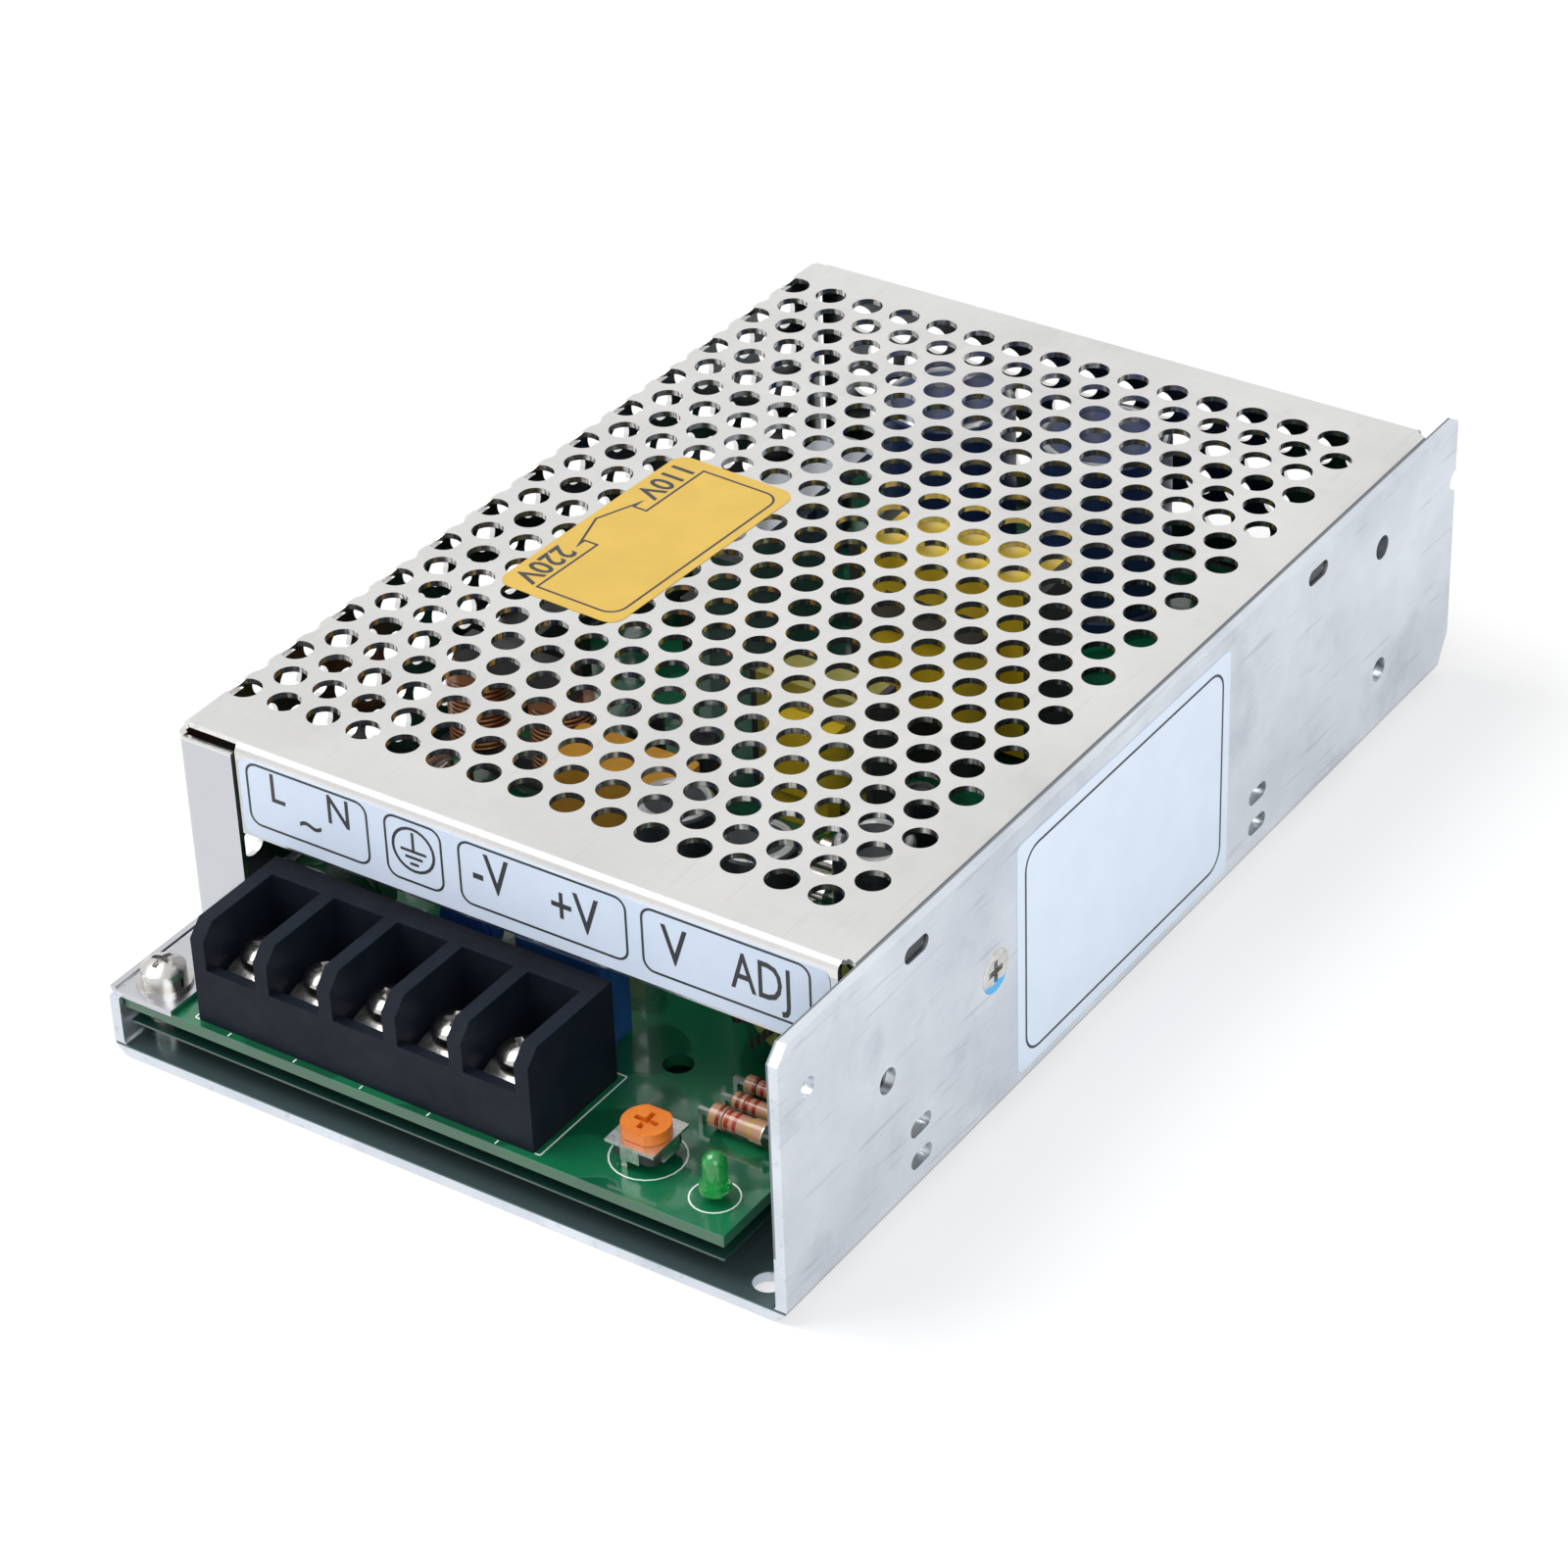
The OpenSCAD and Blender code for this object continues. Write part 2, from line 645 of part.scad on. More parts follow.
module led() color("limegreen") translate([led_x, led_y, board_top]) {
    translate([0, 0, 1.2]) difference() {
        cylinder(h = 0.9, r = led_r + 0.4);
        translate([led_r + 0.1, -3, -eps]) cube([2, 6, 2]);
    }
    translate([0, 0, 2.1]) cylinder(h = 2.8, r = led_r);
    translate([0, 0, 4.9]) intersection() {
        sphere(r = led_r);
        cylinder(h = led_r + 1, r = led_r + 1);
    }
    for (side = [-1, 1]) translate([side * 1.27 / 2 - 0.25, -0.25, 0]) cube([0.5, 0.5, 1.3]);
}

// Axial resistor lying along X, its leads standing on the board
module resistor(len, d, span) {
    z = d / 2 + 0.5;
    lead = 0.6;
    translate([-len / 2, 0, z]) rotate([0, 90, 0]) {
        cylinder(h = len * 0.24, d = d);
        translate([0, 0, len * 0.2]) cylinder(h = len * 0.6, d = d * 0.86);
        translate([0, 0, len * 0.76]) cylinder(h = len * 0.24, d = d);
    }
    for (side = [-1, 1]) {
        translate([side < 0 ? -span / 2 : len / 2 - eps / 2, -lead / 2, z - lead / 2])
            cube([(span - len) / 2 + eps / 2, lead, lead]);
        translate([side * (span - lead) / 2 - lead / 2, -lead / 2, 0])
            cube([lead, lead, z]);
    }
}

module resistors() color("tan") {
    translate([board_right - 8.3, at_y(16.6), board_top]) resistor(7.4, 2.9, 11.6);
    translate([board_right - 8.3, at_y(20.4), board_top]) resistor(6.4, 2.3, 10.4);
    translate([board_right - 8.9, at_y(23.8), board_top]) resistor(6.4, 2.3, 10.4);
    for (k = [0:4]) translate([12, at_y(57 + 3 * k), board_top]) resistor(6.4, 2.3, 9.6);
    for (k = [0:2]) translate([-40.5, at_y(126 + 3 * k), board_top]) resistor(6.4, 2.3, 9);
}

// Mains input parts --------------------------------------------------------

fuse_x = board_left + 6;
fuse_y = at_y(46);
fuse_l = 20;
fuse_d = 5.2;
fuse_cap_l = 5;
fuse_z = board_top + 4.4;

module fuse_tube() color("whitesmoke", 0.6) translate([fuse_x, fuse_y + fuse_l / 2 - fuse_cap_l, fuse_z])
    rotate([90, 0, 0]) difference() {
        cylinder(h = fuse_l - 2 * fuse_cap_l, d = fuse_d - 0.4);
        translate([0, 0, -eps]) cylinder(h = fuse_l, d = fuse_d - 1.6);
    }

module fuse_caps() color("silver") for (side = [-1, 1]) {
    translate([fuse_x, fuse_y + side * (fuse_l - fuse_cap_l) / 2, fuse_z])
        rotate([90, 0, 0]) cylinder(h = fuse_cap_l, d = fuse_d, center = true);
}

module fuse_clips() color("silver") for (side = [-1, 1]) {
    translate([fuse_x, fuse_y + side * (fuse_l - fuse_cap_l) / 2 + 1.5, 0]) rotate([90, 0, 0])
        linear_extrude(3) translate([0, fuse_z]) {
            difference() {
                circle(d = fuse_d + 0.9);
                circle(d = fuse_d + 0.06);
                translate([-fuse_d / 2, fuse_d * 0.28]) square([fuse_d, fuse_d]);
            }
            translate([-1, -fuse_z + board_top]) square([2, fuse_z - board_top - fuse_d / 2 - 0.2]);
        }
}

// Disc part on two legs, facing along Y
module disc_part(d, t, leg) {
    translate([0, t / 2, leg + d / 2]) rotate([90, 0, 0]) {
        cylinder(h = t, d = d * 0.9);
        translate([0, 0, t * 0.15]) cylinder(h = t * 0.7, d = d);
    }
    for (side = [-1, 1]) translate([side * d * 0.25 - 0.3, -0.3, 0]) cube([0.6, 0.6, leg + d * 0.2]);
}

module varistor() color("#7a1f1c") translate([-27, at_y(40), board_top]) disc_part(11, 4.2, 3);

module thermistor() color("#22382c") translate([-30, at_y(26), board_top]) disc_part(9, 4, 3);

module y_capacitors() color("royalblue") for (p = [[-14, 27], [-14, 34]]) {
    translate([p[0], at_y(p[1]), board_top]) disc_part(8, 3.2, 3);
}

module film_capacitor() color("#23406f") translate([-4, at_y(22), board_top])
    rounded_box([13, 6, 12], 1);

module x_capacitor() color("darkorange") translate([-20, at_y(50), board_top])
    rounded_box([18, 9, 16], 0.8);

choke_x = -32;
choke_y = at_y(62);
choke_w = 17;
choke_h = 18;
leg_w = 4;
winding_d = 8.4;

module choke_core() color("#3a3b3f") translate([choke_x, choke_y - 2, board_top + 2.4]) difference() {
    translate([-choke_w / 2, 0, 0]) cube([choke_w, 4, choke_h]);
    translate([-choke_w / 2 + leg_w, -eps, 4]) cube([choke_w - 2 * leg_w, 4 + 2 * eps, choke_h - 8]);
}

module choke_windings() color("#b06a32") for (side = [-1, 1]) {
    translate([choke_x + side * (choke_w - leg_w) / 2, choke_y, board_top]) difference() {
        union() {
            translate([0, 0, 6.6]) cylinder(h = choke_h - 8.4, d = winding_d);
            for (e = [-1, 1]) translate([-0.4, e * 3.4 - 0.4, 0]) cube([0.8, 0.8, 7]);
        }
        translate([-leg_w / 2 - 0.1, -2.1, 5]) cube([leg_w + 0.2, 4.2, choke_h]);
    }
}

module bridge_rectifier() color("#1e1f22") translate([-43, at_y(101), board_top]) {
    translate([0, 0, 2.5]) rotate([90, 0, 90]) linear_extrude(3.6)
        polygon([[0, 0], [20, 0], [20, 11], [18, 13], [0, 13]]);
    for (k = [0:3]) translate([1.4, 2.2 + 5.1 * k, 0]) cube([0.8, 0.9, 2.6]);
}

// Can with a rolled groove near its foot and a scored, slightly sunk top
module can_capacitor(d, h) {
    r = d / 2;
    rotate_extrude() polygon([[0, 0.3], [r - 0.8, 0.3], [r - 0.8, 0], [r, 0], [r, 1.8],
        [r - 0.5, 2.3], [r, 2.8], [r, h - 0.6], [r - 0.6, h], [r - 1.1, h], [r - 1.3, h - 0.3],
        [0, h - 0.3]]);
}

bulk_pos = [[-15, 137], [8, 139]];

module bulk_capacitors() color("#24365e") for (p = bulk_pos) {
    translate([p[0], at_y(p[1]), board_top]) can_capacitor(bulk_d, bulk_h);
}

// Switching transistors on their own plate ---------------------------------

tab_w = 10;
tab_h = 15.4;
tab_t = 1.3;
tab_body_h = 8.6;
tab_body_t = 4.4;
tab_hole_z = 12.4;
tab_lead_t = 0.6;

sink_x = -26;
sink_y = at_y(92);
sink_l = 32;
sink_h = 24;
sink_t = 2;
tran_z = board_top + 3;
tran_hole_z = tran_z + tab_hole_z;

module heatsink() color("silver") difference() {
    union() {
        translate([sink_x, sink_y, board_top]) cube([sink_t, sink_l, sink_h]);
        translate([sink_x, sink_y, board_top + sink_h - sink_t]) cube([8, sink_l, sink_t]);
    }
    for (k = [0, 1]) translate([sink_x - eps, sink_y + 8 + 16 * k, tran_hole_z]) rotate([0, 90, 0])
        cylinder(h = sink_t + 2 * eps, d = 2.6);
}

// Tab package with its back at x = 0 and its body towards -X. Its leads run straight down by
// drop, or forwards by reach and then down
module tab_package(drop, reach) {
    difference() {
        union() {
            translate([-tab_t, -tab_w / 2, 0]) cube([tab_t, tab_w, tab_h]);
            translate([-tab_body_t, -tab_w / 2, 0]) cube([tab_body_t, tab_w, tab_body_h]);
        }
        translate([-tab_t - eps, 0, tab_hole_z]) rotate([0, 90, 0])
            cylinder(h = tab_t + 2 * eps, d = rect_screw_d + 2 * hole_gap);
    }
    x = reach > 0 ? -tab_body_t - reach : -2.6;
    for (k = [-1:1]) translate([0, 2.54 * k - 0.4, 0]) {
        translate([x, 0, -drop]) cube([tab_lead_t, 0.8, drop + tab_lead_t]);
        if (reach > 0) translate([x, 0, 0.4]) cube([reach + eps, 0.8, tab_lead_t]);
    }
}

module switching_transistors() color("#202125") for (k = [0, 1]) {
    translate([sink_x, sink_y + 8 + 16 * k, tran_z]) tab_package(tran_z - board_top, 0);
}

module transistor_screws() color("silver") for (k = [0, 1]) {
    translate([sink_x - tab_t, sink_y + 8 + 16 * k, tran_hole_z]) rotate([0, -90, 0]) {
        pan_head(5.4, 2);
        translate([0, 0, -3.8]) cylinder(h = 3.8, d = 2.5);
    }
}

// Wound parts ---------------------------------------------------------------

trans_x = 8;
trans_y = at_y(104);
core_d = 11;
core_leg = 5.5;

// Two E halves with the windows for the coil; the middle leg is inside the coil
module ferrite_core(w, d, h, leg) {
    difference() {
        translate([-w / 2, -d / 2, 0]) cube([w, d, h]);
        translate([-w / 2 + leg, -d / 2 - eps, leg]) cube([w - 2 * leg, d + 2 * eps, h - 2 * leg]);
    }
    translate([-leg / 2, -d / 2, leg - 0.1]) cube([leg, d, h - 2 * leg + 0.2]);
}

module coil(w, d, h, leg, core_depth) {
    difference() {
        translate([-w / 2, -d / 2, 0]) rounded_box([w, d, h], 3);
        translate([-leg / 2 - 0.1, -core_depth / 2 - 0.1, -eps])
            cube([leg + 0.2, core_depth + 0.2, h + 2 * eps]);
    }
}

module transformer_core() color("#34353a") translate([trans_x, trans_y, board_top + 1.6])
    ferrite_core(core_w, core_d, core_h - 1.6, core_leg);

module transformer_bobbin() color("#17181b") {
    h = core_h - 1.6 - 2 * core_leg;
    translate([trans_x, trans_y, board_top + 1.6 + core_leg]) for (z = [0.05, h - 1.05]) {
        translate([0, 0, z]) coil(core_w - 2 * core_leg - 0.4, core_d + 13, 1, core_leg, core_d);
    }
    for (side = [-1, 1]) translate([trans_x - 8, trans_y + side * (core_d / 2 + 3.4) - 2.6, board_top]) {
        cube([16, 5.2, core_leg + 1.7]);
    }
}

module transformer_winding() color("gold") translate([trans_x, trans_y, board_top + 1.6 + core_leg + 1.1])
    coil(core_w - 2 * core_leg - 0.8, core_d + 12, core_h - 1.6 - 2 * core_leg - 2.2, core_leg, core_d);

driver_x = 2;
driver_y = at_y(80);

module driver_core() color("#34353a") translate([driver_x, driver_y, board_top + 1.2])
    ferrite_core(18, 6, 17, 3.6);

module driver_winding() color("#b7a13a") translate([driver_x, driver_y, board_top + 1.2 + 3.7]) {
    coil(18 - 7.4, 6 + 9, 17 - 7.4, 3.6, 6);
    for (side = [-1, 1]) translate([-4.6, side * 5.2 - 1.4, -4.9]) cube([9.2, 2.8, 5]);
}

toroid_x = 30;
toroid_y = at_y(33);
toroid_t = 6;
wire_w = 0.9;
loop_in_l = toroid_d * 0.275 + 0.1;
// The turns stand clear of each other in the bore, where they are closest
bore_r = toroid_d * 0.34 - loop_in_l / 2 - wire_w;
turn_step = 2 * atan(wire_w / 2 / bore_r) + 3;
turns = floor(300 / turn_step);

module toroid_core() color("#7d7f3c") translate([toroid_x, toroid_y, board_top + toroid_d / 2 + 0.9])
    rotate([90, 0, 0]) difference() {
        cylinder(h = toroid_t, d = toroid_d - 2.4, center = true);
        cylinder(h = toroid_t + 2 * eps, d = toroid_d * 0.45, center = true);
    }

// Turns of wire round the ring: each is a flat loop through the bore
module toroid_winding() color("#2b2730") translate([toroid_x, toroid_y, board_top + toroid_d / 2 + 0.9])
    rotate([90, 0, 0]) for (k = [0:turns - 1]) rotate(120 + k * turn_step) {
        translate([toroid_d * 0.34, 0, 0]) rotate([90, 0, 0]) linear_extrude(wire_w, center = true)
            difference() {
                square([loop_in_l + 2 * wire_w, toroid_t + 0.2 + 2 * wire_w], center = true);
                square([loop_in_l, toroid_t + 0.2], center = true);
            }
    }

// Output side ---------------------------------------------------------------

rect_y = 44.7;
rect_screw_z = board_top + 12.6;
rect_screw_d = 3;
rect_head_d = 5.6;
rect_head_h = 1.3;
pad_t = 0.3;
rect_z = rect_screw_z - tab_hole_z;

module output_rectifier() color("#202125")
    translate([wall_in_x - pad_t, at_y(rect_y), rect_z])
        tab_package(rect_z - board_top, wall_in_x - pad_t - tab_body_t - board_right + 1.5);

module rectifier_pad() color("lightgray") in_yz(wall_in_x - pad_t, pad_t) difference() {
    translate([at_y(rect_y) - 6, rect_z - 0.2]) square([12, 16.2]);
    translate([at_y(rect_y), rect_screw_z]) circle(d = rect_screw_d + 2 * hole_gap);
}

module rectifier_screw() color("silver") translate([right_x, at_y(rect_y), rect_screw_z])
    rotate([0, -90, 0]) difference() {
        union() {
            cylinder(h = rect_head_h, d1 = rect_head_d, d2 = rect_screw_d);
            cylinder(h = 6.6, d = rect_screw_d);
        }
        for (a = [0, 90]) rotate(a) translate([-1.5, -0.4, -eps]) cube([3, 0.8, eps + 0.9]);
    }

module rectifier_nut() color("silver")
    translate([wall_in_x - pad_t - tab_t, at_y(rect_y), rect_screw_z]) rotate([0, -90, 0])
        difference() {
            cylinder(h = 2.4, d = 6.35, $fn = 6);
            translate([0, 0, -eps]) cylinder(h = 4, d = rect_screw_d + 2 * run_gap);
        }

out_cap_pos = [[4, 45], [17, 43], [29, 50]];

module output_capacitors() color("#23282a") for (p = out_cap_pos) {
    translate([p[0], at_y(p[1]), board_top]) can_capacitor(out_cap_d, out_cap_h);
}

module control_chip() color("#1b1c1f") translate([24, at_y(62), board_top]) {
    translate([0, 0, 0.6]) difference() {
        cube([6.4, 19.4, 3.4]);
        translate([3.2, 0, 2.9]) cylinder(h = 1, d = 2);
    }
    for (side = [0, 1], k = [0:7]) {
        translate([side < 1 ? -0.7 : 6.4, 0.6 + 2.54 * k, 0]) cube([0.7, 0.5, 2.4]);
    }
}

small_cap_pos = [[20, 67], [20, 74], [35, 60], [36, 96], [30, 84], [-20, 72], [-10, 70],
                 [-32, 134]];

module small_capacitors() color("#202733") for (p = small_cap_pos) {
    translate([p[0], at_y(p[1]), board_top]) can_capacitor(5, 11);
}

// Voltage selector behind its window in the left wall -----------------------

selector_w = 14;
selector_d = 7;
selector_h = 11.5;
knob_w = 4.4;
knob_h = 3.6;
selector_x = left_x + cover_t + 0.1;

module selector_body() color("#202125") difference() {
    translate([selector_x, window_y - selector_w / 2, board_top])
        cube([selector_d, selector_w, selector_h]);
    translate([selector_x - eps, window_y - (knob_w + selector_travel) / 2 - 0.2,
               window_z - knob_h / 2 - 0.1])
        cube([3.2 + eps, knob_w + selector_travel + 0.4, knob_h + 0.2]);
}

module selector_slider() color("firebrick") difference() {
    translate([left_x + 0.15, window_y - (knob_w + selector_travel) / 2, window_z - knob_h / 2])
        cube([3.6, knob_w, knob_h]);
    translate([left_x, window_y - selector_travel / 2 - 0.5, window_z - 1.2])
        cube([1, 1, 2.4]);
}

// Labels --------------------------------------------------------------------

module front_label() color("lightcyan") in_xz(cover_y0 - label_t, label_t)
    translate([left_x + strip_w + 1.2, case_h - lip_h + 0.4])
        rounded_rect([cover_right - relief - left_x - strip_w - 2.2, lip_h - cover_r - 0.5], 1.5);

module side_label() color("lightcyan") in_yz(right_x, label_t)
    translate([at_y(49.5), chassis_r + 0.6]) rounded_rect([side_label_l, case_h - chassis_r - 3], 1);

module top_label() color("gold") translate([-34.5, at_y(62.5), case_h]) linear_extrude(label_t)
    rounded_rect([top_label_w, top_label_l], 1.5);

base_chassis();
mesh_cover();
circuit_board();
insulating_sheet();
board_standoffs();
board_screws();
spring_washers();
flat_washers();
terminal_block();
terminal_contacts();
clamp_plate_1();
clamp_plate_2();
clamp_plate_3();
clamp_plate_4();
clamp_plate_5();
terminal_screw_1();
terminal_screw_2();
terminal_screw_3();
terminal_screw_4();
terminal_screw_5();
trimmer_frame();
trimmer_body();
trimmer_rotor();
led();
resistors();
fuse_tube();
fuse_caps();
fuse_clips();
varistor();
thermistor();
x_capacitor();
y_capacitors();
film_capacitor();
choke_core();
choke_windings();
bridge_rectifier();
bulk_capacitors();
heatsink();
switching_transistors();
transistor_screws();
transformer_core();
transformer_winding();
transformer_bobbin();
driver_core();
driver_winding();
output_rectifier();
rectifier_pad();
rectifier_screw();
rectifier_nut();
toroid_core();
toroid_winding();
output_capacitors();
control_chip();
small_capacitors();
selector_body();
selector_slider();
front_label();
side_label();
top_label();
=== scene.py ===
import json
import math
import bpy
from mathutils import Matrix, Vector


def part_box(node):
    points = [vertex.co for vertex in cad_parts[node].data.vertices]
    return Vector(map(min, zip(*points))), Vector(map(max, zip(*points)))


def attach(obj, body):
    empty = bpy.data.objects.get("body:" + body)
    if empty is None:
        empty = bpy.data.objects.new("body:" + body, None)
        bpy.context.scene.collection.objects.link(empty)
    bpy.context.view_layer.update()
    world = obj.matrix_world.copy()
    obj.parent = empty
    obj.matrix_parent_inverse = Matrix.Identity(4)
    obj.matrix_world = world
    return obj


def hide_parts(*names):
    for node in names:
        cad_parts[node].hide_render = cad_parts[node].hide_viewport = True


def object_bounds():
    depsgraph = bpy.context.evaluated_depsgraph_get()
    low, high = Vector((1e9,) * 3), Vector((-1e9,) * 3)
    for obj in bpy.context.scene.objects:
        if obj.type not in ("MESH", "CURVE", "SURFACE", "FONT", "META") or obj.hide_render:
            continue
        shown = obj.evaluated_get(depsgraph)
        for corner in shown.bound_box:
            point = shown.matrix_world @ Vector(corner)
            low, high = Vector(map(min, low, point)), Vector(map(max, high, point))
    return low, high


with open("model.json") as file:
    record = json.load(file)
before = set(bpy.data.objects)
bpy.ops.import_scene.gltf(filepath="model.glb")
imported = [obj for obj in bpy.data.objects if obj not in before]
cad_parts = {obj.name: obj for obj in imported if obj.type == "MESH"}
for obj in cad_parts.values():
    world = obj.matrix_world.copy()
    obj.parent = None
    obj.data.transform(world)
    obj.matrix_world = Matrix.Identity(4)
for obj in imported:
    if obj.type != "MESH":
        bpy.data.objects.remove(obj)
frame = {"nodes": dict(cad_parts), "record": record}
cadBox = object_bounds()
bpy.ops.object.select_all(action="DESELECT")
mm = 0.001
cadNodes = frame["nodes"]
slotOf = {part["node"]: part["material_slot"] for part in frame["record"]["subparts"]}


# Camera
cameraSet = {"lens": 108.527, "at": (0.28262, -0.41134, 0.34374)}


def makeCamera(right, down, forward):
    bpy.ops.object.camera_add()
    camera = bpy.context.object
    turn = Matrix((right, [-v for v in down], [-v for v in forward])).transposed()
    camera.matrix_world = Matrix.Translation(cameraSet["at"]) @ turn.to_4x4()
    camera.data.lens = cameraSet["lens"]
    camera.data.sensor_width = 36
    bpy.context.scene.camera = camera


makeCamera(right=(0.83154, 0.55456, -0.03171),
           down=(0.28654, -0.47715, -0.83079),
           forward=(-0.47586, 0.68175, -0.55568))
print("camera placed")

# Shader tools


class Link:  # a node's output that adds, multiplies and compares as a number does
    def __init__(self, tree, socket):
        self.tree, self.socket = tree, socket

    def maths(self, operation, first, second=0.0):
        return addNode(self.tree, "ShaderNodeMath", {"operation": operation}, {0: first, 1: second})

    def output(self, key):  # another output of the same node
        return Link(self.tree, self.socket.node.outputs[key])

    def __add__(self, other):
        return self.maths("ADD", self, other)

    def __radd__(self, other):
        return self.maths("ADD", other, self)

    def __sub__(self, other):
        return self.maths("SUBTRACT", self, other)

    def __rsub__(self, other):
        return self.maths("SUBTRACT", other, self)

    def __mul__(self, other):
        return self.maths("MULTIPLY", self, other)

    def __rmul__(self, other):
        return self.maths("MULTIPLY", other, self)

    def __gt__(self, other):
        return self.maths("GREATER_THAN", self, other)

    def __lt__(self, other):
        return self.maths("LESS_THAN", self, other)

    def __abs__(self):
        return self.maths("ABSOLUTE", self)


def addNode(tree, kind, settings=None, values=None, out=0):
    node = tree.nodes.new(kind)
    for key, value in (settings or {}).items():
        setattr(node, key, value)
    for key, value in (values or {}).items():
        if isinstance(value, Link):
            tree.links.new(value.socket, node.inputs[key])
        elif isinstance(value, tuple) and node.inputs[key].type == "RGBA":
            node.inputs[key].default_value = (*value, 1)
        else:
            node.inputs[key].default_value = value
    return Link(tree, node.outputs[out]) if node.outputs else None


def seenDirectly(tree):  # 1 for what the camera sees straight, in a reflection or through glass
    path = addNode(tree, "ShaderNodeLightPath")
    seen = path.maths("MAXIMUM", path.output("Is Camera Ray"), path.output("Is Glossy Ray"))
    return path.maths("MAXIMUM", seen, path.output("Is Transmission Ray"))


class Finish:
    made = {}

    def __init__(self, name):
        self.material = bpy.data.materials.new(name)
        self.material.use_nodes = True
        self.tree = self.material.node_tree
        self.tree.nodes.clear()
        self.place = self.node("ShaderNodeTexCoord", out=3)
        Finish.made[name] = self.material

    def node(self, kind, settings=None, values=None, out=0):
        return addNode(self.tree, kind, settings, values, out)

    def axes(self):
        split = self.node("ShaderNodeSeparateXYZ", {}, {0: self.place})
        return [split.output(key) for key in range(3)]

    def noise(self, size, detail=3.0, stretch=(1, 1, 1), rough=0.55):  # size of a blotch in mm
        at = self.node("ShaderNodeMapping", {}, {"Vector": self.place, "Scale": stretch})
        return self.node("ShaderNodeTexNoise", {}, {
            "Vector": at, "Scale": 1 / (size * mm), "Detail": detail, "Roughness": rough})

    def spread(self, value, low, high, fromLow=0.3, fromHigh=0.7):
        return self.node("ShaderNodeMapRange", {}, {
            "Value": value, "From Min": fromLow, "From Max": fromHigh, "To Min": low, "To Max": high})

    def mix(self, amount, first, second):
        return self.node("ShaderNodeMix", {"data_type": "RGBA"}, {0: amount, 6: first, 7: second}, 2)

    def bump(self, height, depth, strength=1.0):  # depth in mm
        return self.node("ShaderNodeBump", {}, {
            "Height": height, "Distance": depth * mm, "Strength": strength})

    def surface(self, **values):
        names = {"colour": "Base Color", "roughness": "Roughness", "metallic": "Metallic",
                 "coat": "Coat Weight", "coatRoughness": "Coat Roughness", "ior": "IOR",
                 "alpha": "Alpha", "normal": "Normal", "glow": "Emission Color",
                 "glowStrength": "Emission Strength", "clear": "Transmission Weight",
                 "under": "Subsurface Weight", "specular": "Specular IOR Level"}
        return self.node("ShaderNodeBsdfPrincipled", {}, {names[k]: v for k, v in values.items()})

    def done(self, **values):
        self.node("ShaderNodeOutputMaterial", {}, {0: self.surface(**values)})
        return self.material


# Metals
def sheetMetal(name, pale, dark, roughLow, roughHigh, grainAlong=(14, 0.25, 14), streaks=0.25):
    f = Finish(name)
    blotch = f.noise(26, 4)
    grain = f.noise(1.4, 4, grainAlong)
    scratch = f.spread(f.noise(6, 2, (6, 0.35, 5)), 0, 1, 0.62, 0.70)  # long rubbed marks
    smudge = f.spread(f.noise(9, 5), 0, 1, 0.55, 0.78)
    tone = f.spread(blotch, 0, 0.6) + grain * streaks + smudge * 0.35 + scratch * streaks * 0.6
    rough = f.spread(blotch, roughLow, roughHigh) + smudge * 0.10 + grain * 0.06
    return f, f.mix(tone, pale, dark), rough, f.bump(grain + f.noise(40, 2) * 0.5 + scratch * 0.3, 0.008)


# painted shade: darker tones for the wall's inner face and the base's floor, with the heights where they
# start
chassisShades = {"wall": 1.5, "wallFrom": 9, "wallShadeTone": (0.22, 0.24, 0.26),
                 "floor": (1.3, 1.7), "floorShadeTone": (0.075, 0.115, 0.12)}  # heights and depths in mm


def chassisMetal(name):  # painted shade: the inner face of the wall and the base's floor get darker tones, and the floor lies in deep shade
    f, colour, rough, normal = sheetMetal(name, (0.84, 0.88, 0.93), (0.50, 0.54, 0.60), 0.28, 0.42,
                                          streaks=0.5)
    x, y, z = f.axes()
    wallFace = cadBox[1].x - chassisShades["wall"] * mm
    # painted shade on the inner face of the wall, above wallFrom
    wallShade = (x > wallFace - 0.2 * mm) * (x < wallFace + 0.2 * mm) * (z > chassisShades["wallFrom"] * mm)
    under, over = chassisShades["floor"]
    # painted shade on the base's floor under the film, which is also made less metallic
    floorFace = (z > under * mm) * (z < over * mm)
    colour = f.mix(wallShade, colour, chassisShades["wallShadeTone"])
    colour = f.mix(floorFace, colour, chassisShades["floorShadeTone"])
    return f.done(colour=colour, metallic=1 - floorFace * 0.65,
                  roughness=f.spread(floorFace, rough, 0.10, 0, 1), normal=normal)


# painted shade: darker tones for the cover's inner faces, front flanges and lugs' ends
coverShades = {"skin": 0.75, "inside": (0.13, 0.14, 0.15), "flange": (0.55, 0.56, 0.59),
               "lugShade": (0.05, 0.05, 0.055), "lugFrom": 1.55, "topStrip": 2}


def coverMetal(name):  # painted shade: the faces inside the case, the front flanges and the lugs' ends are darker
    f, colour, rough, normal = sheetMetal(name, (0.78, 0.775, 0.765), (0.61, 0.605, 0.595), 0.14, 0.24,
                                          (1, 1, 1))
    x, y, z = f.axes()
    low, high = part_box("mesh_cover")
    skin, front = coverShades["skin"] * mm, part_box("front_label")[1].y + 1 * mm
    # painted shade on the faces inside the case
    inside = (x > low.x + skin) * (y > front) * (y < high.y - skin) * (z < high.z - skin)
    # painted shade on the front flanges, which take strong light
    flange = (y < front) * (z < high.z - coverShades["topStrip"] * mm)
    # painted shade on the lugs' ends, standing for the shadow in the slots
    lugShade = x > cadBox[1].x - coverShades["lugFrom"] * mm
    colour = f.mix(inside, colour, coverShades["inside"])
    colour = f.mix(flange, colour, coverShades["flange"])
    return f.done(colour=f.mix(lugShade, colour, coverShades["lugShade"]), metallic=1.0, roughness=rough,
                  normal=normal)


